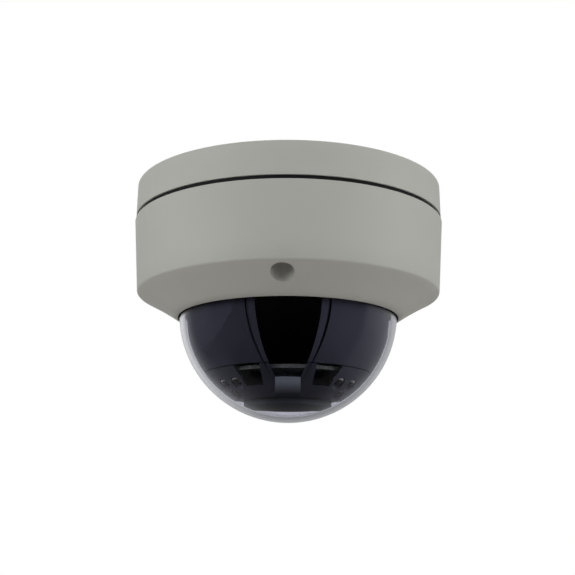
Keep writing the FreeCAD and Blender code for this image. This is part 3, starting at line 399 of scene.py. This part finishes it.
def buildMetalGrain():
    # plated or turned metal: fine lines round the upright axis and cloudy plating
    tree, start, end = newGroup("metalGrain", surfaceSockets, surfaceOutputs)
    vector = start.outputs["Vector"]
    broad = addNoise(tree, vector, start.outputs["Mottle"], 4.0)
    stretch = tree.nodes.new("ShaderNodeMapping")
    stretch.inputs["Scale"].default_value = metalShares["lineStretch"]
    tree.links.new(vector, stretch.inputs["Vector"])
    lines = addNoise(tree, stretch.outputs["Vector"], start.outputs["Grain"], 4.0, metalShares["lineRough"])
    linkColor(tree, start, end, addShares(tree, broad, metalShares["broad"], lines, metalShares["lines"]))
    rough = addMath(tree, "ADD", broad, lines)
    linkRough(tree, start, end, rough, metalShares["roughFrom"], metalShares["roughTo"])
    tree.links.new(lines, end.inputs["Height"])
    return tree


boardShares = {"offset": 0.35, "squash": 1.7, "trackWidth": 0.012, "trackSoft": 0.2, "runLength": 0.42,
               "runStep": 0.13, "padScale": 2.6, "padFrom": 0.1, "padTo": 0.13, "copper": 0.75, "fibre": 0.15,
               "roughFrom": 0.3, "roughTo": 0.7}


def buildBoardPrint():
    # circuit board: solder mask over copper tracks, bare edges between the faces
    tree, start, end = newGroup("boardPrint", surfaceSockets, surfaceOutputs)
    vector = start.outputs["Vector"]
    fibre = addNoise(tree, vector, start.outputs["Grain"], 2.0)
    tracks = tree.nodes.new("ShaderNodeTexBrick")
    tracks.offset = boardShares["offset"]
    tracks.squash = boardShares["squash"]
    tracks.squash_frequency = 3
    tracks.inputs["Color1"].default_value = (0, 0, 0, 1)
    tracks.inputs["Color2"].default_value = (0.12, 0.12, 0.12, 1)
    tracks.inputs["Mortar"].default_value = (1, 1, 1, 1)
    tracks.inputs["Mortar Size"].default_value = boardShares["trackWidth"]
    tracks.inputs["Mortar Smooth"].default_value = boardShares["trackSoft"]
    tracks.inputs["Brick Width"].default_value = boardShares["runLength"]
    tracks.inputs["Row Height"].default_value = boardShares["runStep"]
    tree.links.new(vector, tracks.inputs["Vector"])
    tree.links.new(start.outputs["Mottle"], tracks.inputs["Scale"])
    holes = tree.nodes.new("ShaderNodeTexVoronoi")
    tree.links.new(vector, holes.inputs["Vector"])
    padScale = addMath(tree, "MULTIPLY", start.outputs["Mottle"], boardShares["padScale"])
    tree.links.new(padScale, holes.inputs["Scale"])
    pads = addRange(tree, holes.outputs["Distance"], boardShares["padFrom"], boardShares["padTo"], 1.0, 0.0)
    copper = addMath(tree, "MAXIMUM", tracks.outputs["Color"], pads)
    linkColor(tree, start, end, addMath(tree, "MULTIPLY", copper, boardShares["copper"]))
    linkRough(tree, start, end, fibre, boardShares["roughFrom"], boardShares["roughTo"])
    relief = addMath(tree, "MULTIPLY", fibre, boardShares["fibre"])
    tree.links.new(addMath(tree, "ADD", copper, relief), end.inputs["Height"])
    return tree


clearShares = {"roughFrom": 0.3, "roughTo": 0.8}


def buildClearTint():
    # clear plastic or coated glass: a drifting tint and a hardly visible haze
    tree, start, end = newGroup("clearTint", surfaceSockets, surfaceOutputs)
    vector = start.outputs["Vector"]
    broad = addNoise(tree, vector, start.outputs["Mottle"], 2.0)
    fine = addNoise(tree, vector, start.outputs["Grain"], 3.0)
    linkColor(tree, start, end, broad)
    linkRough(tree, start, end, fine, clearShares["roughFrom"], clearShares["roughTo"])
    tree.links.new(fine, end.inputs["Height"])
    return tree


groups = {
    "coat": buildCoatGrain(),
    "mould": buildMouldGrain(),
    "metal": buildMetalGrain(),
    "board": buildBoardPrint(),
    "clear": buildClearTint(),
}


def makeMaterial(name, look):
    material = bpy.data.materials.new(name)
    material.use_nodes = True
    tree = material.node_tree
    shader = tree.nodes["Principled BSDF"]
    place = tree.nodes.new("ShaderNodeTexCoord")
    group = tree.nodes.new("ShaderNodeGroup")
    group.node_tree = groups[look["kind"]]
    tree.links.new(place.outputs["Object"], group.inputs["Vector"])
    group.inputs["Color"].default_value = look["color"] + (1,)
    group.inputs["Shade"].default_value = look["shade"] + (1,)
    group.inputs["Mottle"].default_value = look["mottle"]
    group.inputs["Grain"].default_value = look["grain"]
    group.inputs["Rough Low"].default_value = look["rough"][0]
    group.inputs["Rough High"].default_value = look["rough"][1]
    color = group.outputs["Color"]
    if look.get("fade"):
        # painted shade: the pane darkens towards its lower edge
        low, high, dark = look["fade"]
        split = tree.nodes.new("ShaderNodeSeparateXYZ")
        tree.links.new(place.outputs["Object"], split.inputs[0])
        paintedShadeRamp = addRange(tree, split.outputs["Z"], low, high, 0.0, 1.0)
        color = addMix(tree, paintedShadeRamp, dark + (1,), color)
    tree.links.new(color, shader.inputs["Base Color"])
    tree.links.new(group.outputs["Roughness"], shader.inputs["Roughness"])
    if look.get("bump"):
        bump = tree.nodes.new("ShaderNodeBump")
        bump.inputs["Strength"].default_value = look["bump"]
        bump.inputs["Distance"].default_value = look.get("depth", 0.00005)
        tree.links.new(group.outputs["Height"], bump.inputs["Height"])
        tree.links.new(bump.outputs["Normal"], shader.inputs["Normal"])
    for label, value in look.get("shader", {}).items():
        shader.inputs[label].default_value = value
    if look.get("letsLightIn"):
        # lamps reach what stands behind the clear wall
        output = tree.nodes["Material Output"]
        path = tree.nodes.new("ShaderNodeLightPath")
        clear = tree.nodes.new("ShaderNodeBsdfTransparent")
        clear.inputs["Color"].default_value = look["letsLightIn"] + (1,)
        mix = tree.nodes.new("ShaderNodeMixShader")
        tree.links.new(path.outputs["Is Shadow Ray"], mix.inputs[0])
        tree.links.new(shader.outputs[0], mix.inputs[1])
        tree.links.new(clear.outputs[0], mix.inputs[2])
        tree.links.new(mix.outputs[0], output.inputs["Surface"])
    return material


# colours are linear; sizes of patterns are per metre
looks = {
    "cast_grey": {"kind": "coat", "color": (0.405, 0.410, 0.380), "shade": (0.372, 0.378, 0.350),
                  "mottle": 14.0, "grain": 2600.0, "rough": (0.46, 0.6), "bump": 0.22, "depth": 0.00004,
                  "shader": {"Specular IOR Level": 0.35}},
    "clear_dome": {"kind": "clear", "color": (0.87, 0.875, 0.955), "shade": (0.895, 0.90, 0.97),
                   "mottle": 12.0, "grain": 900.0, "rough": (0.0, 0.012),
                   "shader": {"Transmission Weight": 1.0, "IOR": 1.58}, "letsLightIn": (0.91, 0.91, 0.94)},
    "black_rubber": {"kind": "mould", "color": (0.010, 0.010, 0.011), "shade": (0.020, 0.020, 0.022),
                     "mottle": 90.0, "grain": 4200.0, "rough": (0.55, 0.8), "bump": 0.25,
                     "shader": {"Specular IOR Level": 0.3}},
    # the lens hood's black rubber, copied lighter as painted light on the hood
    "hood_rubber_painted_light": {"kind": "mould", "color": (0.080, 0.086, 0.098), "shade": (0.105, 0.112, 0.126),
                    "mottle": 90.0, "grain": 4200.0, "rough": (0.55, 0.8), "bump": 0.25,
                    "shader": {"Specular IOR Level": 0.3}},
    "shroud_charcoal": {"kind": "mould", "color": (0.072, 0.072, 0.094), "shade": (0.098, 0.098, 0.126),
                        "mottle": 60.0, "grain": 3600.0, "rough": (0.38, 0.55), "bump": 0.15,
                        "shader": {"Specular IOR Level": 0.3}},
    # near black: partly the plastic's own colour, partly painted shade deep in the ball's mouth
    "black_plastic": {"kind": "mould", "color": (0.006, 0.006, 0.007), "shade": (0.014, 0.014, 0.016),
                      "mottle": 70.0, "grain": 3800.0, "rough": (0.42, 0.62), "bump": 0.2,
                      "shader": {"Specular IOR Level": 0.25}},
    "nylon": {"kind": "mould", "color": (0.72, 0.70, 0.64), "shade": (0.60, 0.58, 0.52),
              "mottle": 120.0, "grain": 3000.0, "rough": (0.35, 0.5), "bump": 0.12,
              "shader": {"Subsurface Weight": 0.15, "Subsurface Scale": 0.001}},
    "zinc_steel": {"kind": "metal", "color": (0.64, 0.64, 0.62), "shade": (0.42, 0.43, 0.43),
                   "mottle": 160.0, "grain": 5200.0, "rough": (0.24, 0.42), "bump": 0.15,
                   "shader": {"Metallic": 1.0}},
    "dark_steel": {"kind": "metal", "color": (0.055, 0.055, 0.060), "shade": (0.095, 0.090, 0.085),
                   "mottle": 110.0, "grain": 4200.0, "rough": (0.32, 0.5), "bump": 0.15,
                   "shader": {"Metallic": 0.85}},
    # frosted window: its pale colour is partly the diffuser's own and partly a painted highlight; its fade to
    # dark at the lower edge is painted shade
    "frosted_window": {"kind": "mould", "color": (0.50, 0.54, 0.60), "shade": (0.60, 0.64, 0.70),
                       "mottle": 140.0, "grain": 5200.0, "rough": (0.5, 0.62), "bump": 0.2,
                       "fade": (-0.0994, -0.0950, (0.060, 0.064, 0.074))},
    # near black: partly the anodising's own colour, partly painted shade deep in the ball's mouth
    "black_anodised": {"kind": "metal", "color": (0.006, 0.006, 0.007), "shade": (0.016, 0.016, 0.018),
                       "mottle": 90.0, "grain": 5200.0, "rough": (0.34, 0.5), "bump": 0.2,
                       "shader": {"Metallic": 0.5, "Specular IOR Level": 0.3}},
    "circuit_green": {"kind": "board", "color": (0.014, 0.105, 0.048), "shade": (0.060, 0.235, 0.110),
                      "mottle": 34.0, "grain": 2600.0, "rough": (0.28, 0.42), "bump": 0.4,
                      "shader": {"Coat Weight": 0.3, "Coat Roughness": 0.2}},
    "lamp_board_grey": {"kind": "board", "color": (0.22, 0.24, 0.22), "shade": (0.38, 0.38, 0.31),
                        "mottle": 60.0, "grain": 2600.0, "rough": (0.35, 0.5), "bump": 0.3},
    "brass": {"kind": "metal", "color": (0.74, 0.55, 0.24), "shade": (0.52, 0.36, 0.14),
              "mottle": 140.0, "grain": 5200.0, "rough": (0.22, 0.38), "bump": 0.15,
              "shader": {"Metallic": 1.0}},
    "chip_black": {"kind": "mould", "color": (0.018, 0.018, 0.020), "shade": (0.036, 0.036, 0.038),
                   "mottle": 150.0, "grain": 6000.0, "rough": (0.5, 0.7), "bump": 0.25},
    "capacitor_silver": {"kind": "metal", "color": (0.70, 0.71, 0.73), "shade": (0.48, 0.50, 0.54),
                         "mottle": 190.0, "grain": 4200.0, "rough": (0.2, 0.34), "bump": 0.12,
                         "shader": {"Metallic": 1.0}},
    "terminal_green": {"kind": "mould", "color": (0.030, 0.250, 0.105), "shade": (0.055, 0.330, 0.150),
                       "mottle": 120.0, "grain": 3600.0, "rough": (0.35, 0.5), "bump": 0.15},
    "plug_white": {"kind": "mould", "color": (0.78, 0.75, 0.68), "shade": (0.66, 0.62, 0.54),
                   "mottle": 160.0, "grain": 3600.0, "rough": (0.35, 0.5), "bump": 0.15},
    "button_red": {"kind": "mould", "color": (0.42, 0.035, 0.028), "shade": (0.55, 0.075, 0.055),
                   "mottle": 260.0, "grain": 4200.0, "rough": (0.35, 0.5), "bump": 0.15},
    "lead_black": {"kind": "mould", "color": (0.014, 0.014, 0.016), "shade": (0.034, 0.034, 0.038),
                   "mottle": 220.0, "grain": 4600.0, "rough": (0.4, 0.58), "bump": 0.15},
    "led_clear": {"kind": "clear", "color": (0.93, 0.93, 0.95), "shade": (0.86, 0.86, 0.90),
                  "mottle": 260.0, "grain": 1500.0, "rough": (0.0, 0.03),
                  "shader": {"Transmission Weight": 1.0, "IOR": 1.5}, "letsLightIn": (0.8, 0.8, 0.82)},
    "lens_glass": {"kind": "clear", "color": (0.62, 0.66, 0.80), "shade": (0.52, 0.46, 0.72),
                   "mottle": 80.0, "grain": 1200.0, "rough": (0.0, 0.01),
                   "shader": {"Transmission Weight": 0.9, "IOR": 1.6}, "letsLightIn": (0.5, 0.5, 0.6)},
    "filter_glass": {"kind": "clear", "color": (0.45, 0.70, 0.72), "shade": (0.55, 0.62, 0.80),
                     "mottle": 120.0, "grain": 1200.0, "rough": (0.0, 0.02),
                     "shader": {"Transmission Weight": 0.9, "IOR": 1.52}, "letsLightIn": (0.5, 0.7, 0.7)},
}
materials = {name: makeMaterial(name, look) for name, look in looks.items()}
nodeSlots = {part["node"]: part["material_slot"] for part in frame["record"]["subparts"]}
for name, node in nodes.items():
    node.data.materials.clear()
    node.data.materials.append(materials[nodeSlots[name]])
print("materials ready:", len(materials))


def dress(piece, slot, body, *replaced, finish=None):
    piece.data.materials.clear()
    piece.data.materials.append(materials[finish or slot])
    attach(piece, body)
    if replaced:
        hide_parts(*replaced)
    return piece


# camera and stage
shot = {"lens": 67.992, "target": (-0.000354, 0.0, -0.046532), "distance": 0.511821,
        "rise": 13.2036, "roll": 0.307}


def makeCamera():
    rise = math.radians(shot["rise"])
    roll = math.radians(shot["roll"])
    back = Vector((0, -math.cos(rise), -math.sin(rise)))
    right = Vector((1, 0, 0))
    upward = Vector((0, -math.sin(rise), math.cos(rise)))
    place = Vector(shot["target"]) + back * shot["distance"]
    turnedRight = math.cos(roll) * right + math.sin(roll) * upward
    turnedUp = -math.sin(roll) * right + math.cos(roll) * upward
    data = bpy.data.cameras.new("shotCamera")
    data.lens = shot["lens"]
    data.sensor_width = 36.0
    data.clip_start = 0.01
    camera = bpy.data.objects.new("shotCamera", data)
    bpy.context.scene.collection.objects.link(camera)
    camera.matrix_world = Matrix((
        (turnedRight.x, turnedUp.x, back.x, place.x),
        (turnedRight.y, turnedUp.y, back.y, place.y),
        (turnedRight.z, turnedUp.z, back.z, place.z),
        (0, 0, 0, 1),
    ))
    bpy.context.scene.camera = camera


makeCamera()

stage = {"floorHeight": -0.62, "floorSpan": 3.2, "cuts": 6, "fadeFrom": 0.6, "fadeTo": 1.6,
         "toCamera": 0.3, "toCameraColor": (1, 0.99, 0.98, 1)}
floorLook = {"kind": "mould", "color": (0.80, 0.765, 0.74), "shade": (0.78, 0.745, 0.72),
             "mottle": 2.0, "grain": 90.0, "rough": (0.7, 0.8), "bump": 0.02}


def makeFloorMaterial():
    # the camera sees the floor paler, and its rim melts into the white behind it
    material = makeMaterial("pale_floor", floorLook)
    tree = material.node_tree
    shader = tree.nodes["Principled BSDF"]
    path = tree.nodes.new("ShaderNodeLightPath")
    shader.inputs["Emission Color"].default_value = stage["toCameraColor"]
    paler = addMath(tree, "MULTIPLY", path.outputs["Is Camera Ray"], stage["toCamera"])
    tree.links.new(paler, shader.inputs["Emission Strength"])
    place = tree.nodes.new("ShaderNodeTexCoord")
    split = tree.nodes.new("ShaderNodeSeparateXYZ")
    tree.links.new(place.outputs["Object"], split.inputs[0])
    across = addMath(tree, "MULTIPLY", split.outputs["X"], split.outputs["X"])
    along = addMath(tree, "MULTIPLY", split.outputs["Y"], split.outputs["Y"])
    away = addMath(tree, "SQRT", addMath(tree, "ADD", across, along), 0.0)
    clear = tree.nodes.new("ShaderNodeBsdfTransparent")
    mix = tree.nodes.new("ShaderNodeMixShader")
    fade = addRange(tree, away, stage["fadeFrom"], stage["fadeTo"], 0.0, 1.0)
    tree.links.new(fade, mix.inputs[0])
    tree.links.new(shader.outputs[0], mix.inputs[1])
    tree.links.new(clear.outputs[0], mix.inputs[2])
    tree.links.new(mix.outputs[0], tree.nodes["Material Output"].inputs["Surface"])
    return material


def makeFloor():
    clearSelection()
    bpy.ops.mesh.primitive_plane_add(size=stage["floorSpan"], location=(0, 0, stage["floorHeight"]))
    floor = bpy.context.object
    floor.name = "studioFloor"
    bpy.ops.object.mode_set(mode="EDIT")
    bpy.ops.mesh.select_all(action="SELECT")
    bpy.ops.mesh.subdivide(number_cuts=stage["cuts"])
    bpy.ops.object.mode_set(mode="OBJECT")
    settle(floor)
    floor.data.materials.append(makeFloorMaterial())
    floor.visible_glossy = False    # the bubble mirrors a dark room, not this floor
    floor.visible_transmission = False


makeFloor()

# each lamp: where it stands, its width and height, its power; all look at the same point
lampAim = (0, 0, -0.055)
lamps = {
    "leftSoft": {"place": (-1.45, -0.45, 0.25), "size": (1.0, 1.4), "power": 12.5},
    "rightSoft": {"place": (1.45, -0.45, 0.25), "size": (1.0, 1.4), "power": 20.5},
    "leftFront": {"place": (-1.15, -1.05, 0.35), "size": (0.8, 1.0), "power": 7.5},
    "frontHigh": {"place": (0.0, -0.85, 1.25), "size": (1.6, 0.8), "power": 13.0},
    "backSoft": {"place": (0.0, 1.55, 0.25), "size": (1.6, 1.2), "power": 15.0},
}


def makeLamp(name, lamp):
    data = bpy.data.lights.new(name, "AREA")
    data.shape = "RECTANGLE"
    data.size, data.size_y = lamp["size"]
    data.energy = lamp["power"]
    light = bpy.data.objects.new(name, data)
    bpy.context.scene.collection.objects.link(light)
    light.location = lamp["place"]
    aim = Vector(lampAim) - Vector(lamp["place"])
    light.rotation_euler = aim.to_track_quat("-Z", "Y").to_euler()
    light.visible_camera = False
    light.visible_glossy = False
    light.visible_transmission = False


for name, lamp in lamps.items():
    makeLamp(name, lamp)

# how bright the room is in mirror images: a level, and shares of it that depend on the direction
sky = {"front": 0.010, "beside": 0.29, "behind": 0.52, "turnFrom": -0.08, "turnTo": 0.06}
skyShares = [
    # axis, from, to, share there, share there
    ("Z", -0.16, 0.12, 0.78, 1.0),
    ("Z", -0.9, -0.1, 0.10, 1.0),
]
skyLeft = [("X", -0.85, -0.45, 0.16, 1.5), ("X", -0.35, -0.1, 1.5, 1.0)]
skyRight = ("X", 0.45, 0.70, 1.0, 0.6)


def makeSky():
    # white where the camera looks, also through clear pieces
    # in mirror images it is dark in front and paler behind
    world = bpy.data.worlds.new("studioSky")
    bpy.context.scene.world = world
    world.use_nodes = True
    tree = world.node_tree
    background = tree.nodes["Background"]
    background.inputs["Color"].default_value = (1, 1, 1, 1)
    path = tree.nodes.new("ShaderNodeLightPath")
    place = tree.nodes.new("ShaderNodeTexCoord")
    split = tree.nodes.new("ShaderNodeSeparateXYZ")
    tree.links.new(place.outputs["Generated"], split.inputs[0])

    def share(part):
        return addRange(tree, split.outputs[part[0]], *part[1:])

    level = addMath(tree, "ADD", share(("Y", sky["turnFrom"], sky["turnTo"], sky["front"], sky["beside"])),
                    share(("Y", sky["turnTo"], 1.0, 0.0, sky["behind"] - sky["beside"])))
    for part in skyShares:
        level = addMath(tree, "MULTIPLY", level, share(part))
    level = addMath(tree, "MULTIPLY", level, addMath(tree, "MINIMUM", share(skyLeft[0]), share(skyLeft[1])))
    level = addMath(tree, "MULTIPLY", level, share(skyRight))
    unscattered = addMath(tree, "LESS_THAN", path.outputs["Diffuse Depth"], 0.5)
    unmirrored = addMath(tree, "LESS_THAN", path.outputs["Glossy Depth"], 0.5)
    clear = addMath(tree, "MULTIPLY", addMath(tree, "MULTIPLY", unscattered, unmirrored),
                    path.outputs["Is Transmission Ray"])
    direct = addMath(tree, "MAXIMUM", path.outputs["Is Camera Ray"], clear)
    bent = addMath(tree, "MAXIMUM", path.outputs["Is Glossy Ray"], path.outputs["Is Transmission Ray"])
    mirrored = addMath(tree, "MULTIPLY", addMath(tree, "MULTIPLY", bent, unscattered), level)
    tree.links.new(addMath(tree, "MAXIMUM", direct, mirrored), background.inputs["Strength"])


makeSky()
bpy.context.scene.view_settings.view_transform = "Standard"
print("camera, floor, lamps and sky ready")


# clear bubble
bubble = {"centre": -0.0592, "outer": 0.0508, "inner": 0.0483, "flange": 0.0563,
          "flangeLow": -0.0537, "flangeHigh": -0.0512, "steps": 192, "arcSteps": 44, "smooth": 30}


def makeBubble():
    low, high = bubble["flangeLow"], bubble["flangeHigh"]
    outline = [(bubble["inner"], high), (bubble["flange"], high),
               (bubble["flange"], low), (bubble["outer"], low)]
    outline += arcOutline(bubble["outer"], bubble["centre"], 0, 90, bubble["arcSteps"])
    outline += arcOutline(bubble["inner"], bubble["centre"], 90, 0, bubble["arcSteps"])
    piece = spunPiece("clearBubble", outline, bubble["steps"])
    smoothBy(piece, bubble["smooth"])
    return dress(piece, "clear_dome", "cover", "dome_bubble")


makeBubble()

# cast housing and moulded shells: the node each stands for, slot, body and smoothing angle
shells = {
    "coverCasting": ("cover_shell", "cast_grey", "cover", 32),
    "baseCasting": ("mounting_base", "cast_grey", "base", 14),
    "ballShroud": ("inner_shroud", "shroud_charcoal", "ball", 32),
    "lampCover": ("lamp_cover", "shroud_charcoal", "ball", 32),
}
ballCentre = Vector((0, 0, bubble["centre"]))
ballRadii = (0.0477, 0.0480, 0.0470, 0.0461)    # skin, lips, groove floor and inside of the ball
recess = {"circle": 0.0635, "radius": 0.0051, "front": -92.25, "count": 3}
recessAngles = [recess["front"] + 360 * index / recess["count"] for index in range(recess["count"])]
recessPosts = [(around(recess["circle"], degrees), recess["radius"]) for degrees in recessAngles]


def makeShells():
    for name, (node, slot, body, degrees) in shells.items():
        piece = dress(smoothedCopy(node, name, degrees), slot, body, node)
        if body == "ball":
            trueRounds(piece, [(ballCentre, radius) for radius in ballRadii])
        if body == "cover":
            trueRounds(piece, [], recessPosts)


makeShells()
print("bubble and shells ready")

# rubber ring round the lens: ribbed wall, beaded edge, rounded foot
hood = {"radius": 0.0200, "foot": 0.0153, "hole": 0.0142, "high": -0.0896, "follow": 0.0478,
        "ribs": 3, "ribFirst": 0.8, "ribStep": 0.0026, "ribDepth": 0.0004, "ribHalf": 0.0003,
        "bead": 0.0006, "beadTop": 4, "beadHigh": 3, "beadLow": 0.3, "footSteps": 8,
        "steps": 128, "smooth": 26}


def followBubble(radius):
    return bubble["centre"] - math.sqrt(hood["follow"] ** 2 - radius ** 2)


def makeHood():
    radius, bead, hole = hood["radius"], hood["bead"], hood["hole"]
    wall = radius - bead
    edge = followBubble(radius)
    foot = followBubble(hood["foot"])
    outline = [(hole, hood["high"]), (wall, hood["high"])]
    for index in range(hood["ribs"]):
        middle = hood["high"] - hood["ribStep"] * (index + hood["ribFirst"])
        outline += [(wall, middle + hood["ribHalf"]), (wall - hood["ribDepth"], middle),
                    (wall, middle - hood["ribHalf"])]
    outline += [(wall, edge + hood["beadTop"] * bead), (radius, edge + hood["beadHigh"] * bead),
                (radius, edge + hood["beadLow"] * bead)]
    for index in range(1, hood["footSteps"] + 1):
        place = radius + (hood["foot"] - radius) * index / hood["footSteps"]
        outline.append((place, followBubble(place)))
    outline += [(hole + bead, foot), (hole, foot + bead)]
    piece = spunPiece("rubberHood", outline, hood["steps"])
    smoothBy(piece, hood["smooth"])
    # painted light: the hood wears the lighter copy of the black rubber, not its own black
    return dress(piece, "black_rubber", "ball", "lens_hood", finish="hood_rubber_painted_light")


makeHood()

# inside each infrared lamp: a pale reflector cup, its rim ring and the die on its floor; the pale cups and
# rims are partly real reflectors and partly painted glints on the bulbs
# rows are circle, height and angles from the front; outlines are measured from the bulb's centre
lampCups = {
    "rows": ((0.03186, -0.0919, (43, 57, 123, 137)), (0.02666, -0.09595, (54, 126))),
    "cup": [(0.0, 0.0007), (0.0009, 0.0007), (0.0019, -0.0008), (0.00165, -0.0008), (0.0007, 0.00045),
            (0.0, 0.00045)],
    "rim": [(0.00168, -0.0008), (0.00198, -0.0008), (0.00198, -0.0010), (0.00185, -0.0012),
            (0.0017, -0.0010)],
    "dieHeight": 0.00028, "dieSize": (0.0007, 0.0007, 0.0003), "dieSoft": 0.00005, "steps": 28, "smooth": 40,
}


def lampSpots():
    spots = []
    for circle, height, angles in lampCups["rows"]:
        for degrees in angles:
            for side in (-1, 1):
                x, y = around(circle, -90 + side * degrees)
                spots.append((x, y, height, side * degrees))
    return spots


def makeLampCups():
    for name, part in (("lampCups", "cup"), ("lampRims", "rim")):
        ring = spunPiece(part, lampCups[part], lampCups["steps"])
        smoothBy(ring, lampCups["smooth"])
        # the pale cups and rims stand partly for painted glints on the bulbs
        copiesAt(name, ring, lampSpots(), "plug_white", "ball")
    die = blockPiece("die", (0, 0, lampCups["dieHeight"]), lampCups["dieSize"], lampCups["dieSoft"])
    copiesAt("lampDies", die, lampSpots(), "brass", "ball")


makeLampCups()
print("hood and lamps ready")

# legs round the two chips of the main board; the outline is from the chip's side outwards
legs = {"chips": ((-0.017, 0.030), (0.020, 0.027)), "half": 0.0070, "board": -0.0090, "count": 14,
        "pitch": 0.00085, "width": 0.00035,
        "outline": [(0.0, -0.0008), (0.0007, -0.0008), (0.0010, -0.0002), (0.0017, -0.0002), (0.0017, 0.0),
                    (0.0009, 0.0), (0.0006, -0.0006), (0.0, -0.0006)]}

# tiny resistors under the boards: the height of each board's lower face and x, y and turn of each
tiny = {"length": 0.0016, "width": 0.0009, "height": 0.0006, "cap": 0.00035, "slim": 0.94,
        "bodySoft": 0.00006, "capSoft": 0.00008}
mainTinies = [
    (-0.030, 0.022, 0), (-0.033, 0.022, 0), (-0.036, 0.022, 0), (-0.029, 0.036, 90), (-0.032, 0.036, 90),
    (-0.010, 0.039, 0), (-0.007, 0.0205, 0), (0.007, 0.0205, 0), (-0.006, 0.036, 90), (0.006, 0.031, 90),
    (0.006, 0.034, 90), (0.031, 0.021, 0), (0.034, 0.021, 0), (0.037, 0.024, 90), (0.031, 0.034, 90),
    (0.020, 0.038, 0), (0.023, 0.038, 0), (0.012, 0.041, 0), (0.009, 0.038, 90), (-0.019, 0.0405, 0),
]
powerTinies = [
    (-0.032, -0.022, 0), (-0.032, -0.025, 0), (-0.031, -0.033, 90), (-0.028, -0.033, 90), (0.002, -0.022, 0),
    (0.002, -0.025, 0), (0.019, -0.036, 90), (0.022, -0.036, 90), (0.003, -0.038, 0), (0.033, -0.022, 0),
    (0.036, -0.022, 0), (0.034, -0.027, 90), (0.028, -0.033, 0), (0.006, -0.034, 90),
]
coreTinies = [
    (-0.0165, -0.009, 90), (-0.0165, -0.004, 90), (-0.0165, 0.001, 90), (-0.0165, 0.006, 90),
    (0.0165, -0.009, 90), (0.0165, -0.004, 90), (0.0165, 0.001, 90), (0.0165, 0.006, 90),
    (-0.006, -0.0165, 0), (-0.002, -0.0165, 0), (0.002, -0.0165, 0), (0.006, -0.0165, 0),
]
tinyRows = {"base": [(-0.0090, mainTinies), (-0.0090, powerTinies)],
            "core": [(-0.0501, coreTinies), (-0.0430, coreTinies)]}


def makeTinies(body, rows):
    length, width, height, cap = tiny["length"], tiny["width"], tiny["height"], tiny["cap"]
    places = [(x, y, level - height / 2, turn) for level, spots in rows for x, y, turn in spots]
    size = (length - 2 * cap, width * tiny["slim"], height * tiny["slim"])
    middle = blockPiece("tinyBody", (0, 0, 0), size, tiny["bodySoft"])
    copiesAt(body + "Tinies", middle, places, "chip_black", body)
    reach = (length - cap) / 2
    ends = [blockPiece("tinyCap", (side * reach, 0, 0), (cap, width, height), tiny["capSoft"])
            for side in (-1, 1)]
    copiesAt(body + "TinyCaps", joinPieces("tinyCaps", ends), places, "capacitor_silver", body)


def legPlaces(chip):
    places = []
    for turn in (0, 90, 180, 270):
        angle = math.radians(turn)
        for index in range(legs["count"]):
            along = (index - (legs["count"] - 1) / 2) * legs["pitch"]
            x = chip[0] + along * math.cos(angle) - legs["half"] * math.sin(angle)
            y = chip[1] + along * math.sin(angle) + legs["half"] * math.cos(angle)
            places.append((x, y, legs["board"], turn))
    return places


def makeBoardParts():
    places = [place for chip in legs["chips"] for place in legPlaces(chip)]
    leg = cutPiece("leg", legs["outline"], legs["width"])
    copiesAt("chipLegs", leg, places, "capacitor_silver", "base")
    for body, rows in tinyRows.items():
        makeTinies(body, rows)


makeBoardParts()

# wound coil on the power board: ferrite drum, copper turns between its flanges
coil = {"middle": (0.0245, -0.0285), "radius": 0.0042, "neck": 0.0024, "low": -0.0136, "high": -0.0090,
        "flange": 0.0008, "dimple": 0.0008, "dimpleDeep": 0.0004, "soft": 0.00012, "turns": 9,
        "clear": 0.00002, "wire": ((0.15, 0.00115), (0.5, 0.0014), (0.85, 0.00115)),
        "steps": 48, "smooth": 50}


def makeCoil():
    low, high, flange = coil["low"], coil["high"], coil["flange"]
    radius, neck, clear = coil["radius"], coil["neck"], coil["clear"]
    outline = [(0.0, high), (radius, high), (radius, high - flange), (neck, high - flange),
               (neck, low + flange), (radius, low + flange), (radius, low), (coil["dimple"], low),
               (0.0, low + coil["dimpleDeep"])]
    drum = spunPiece("drum", outline, coil["steps"])
    softEdges(drum, coil["soft"], 2, coil["smooth"])
    copiesAt("powerCoilCore", drum, [(*coil["middle"], 0, 0)], "chip_black", "base")
    step = (high - low - 2 * flange) / coil["turns"]
    outline = [(neck + clear, high - flange - clear)]
    for index in range(coil["turns"]):
        top = high - flange - step * index
        outline += [(neck + reach, top - step * part) for part, reach in coil["wire"]]
    outline.append((neck + clear, low + flange + clear))
    winding = spunPiece("winding", outline, coil["steps"])
    smoothBy(winding, coil["smooth"])
    copiesAt("powerCoilTurns", winding, [(*coil["middle"], 0, 0)], "brass", "base")


makeCoil()
print("board parts ready")

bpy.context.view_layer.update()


print("pieces done")
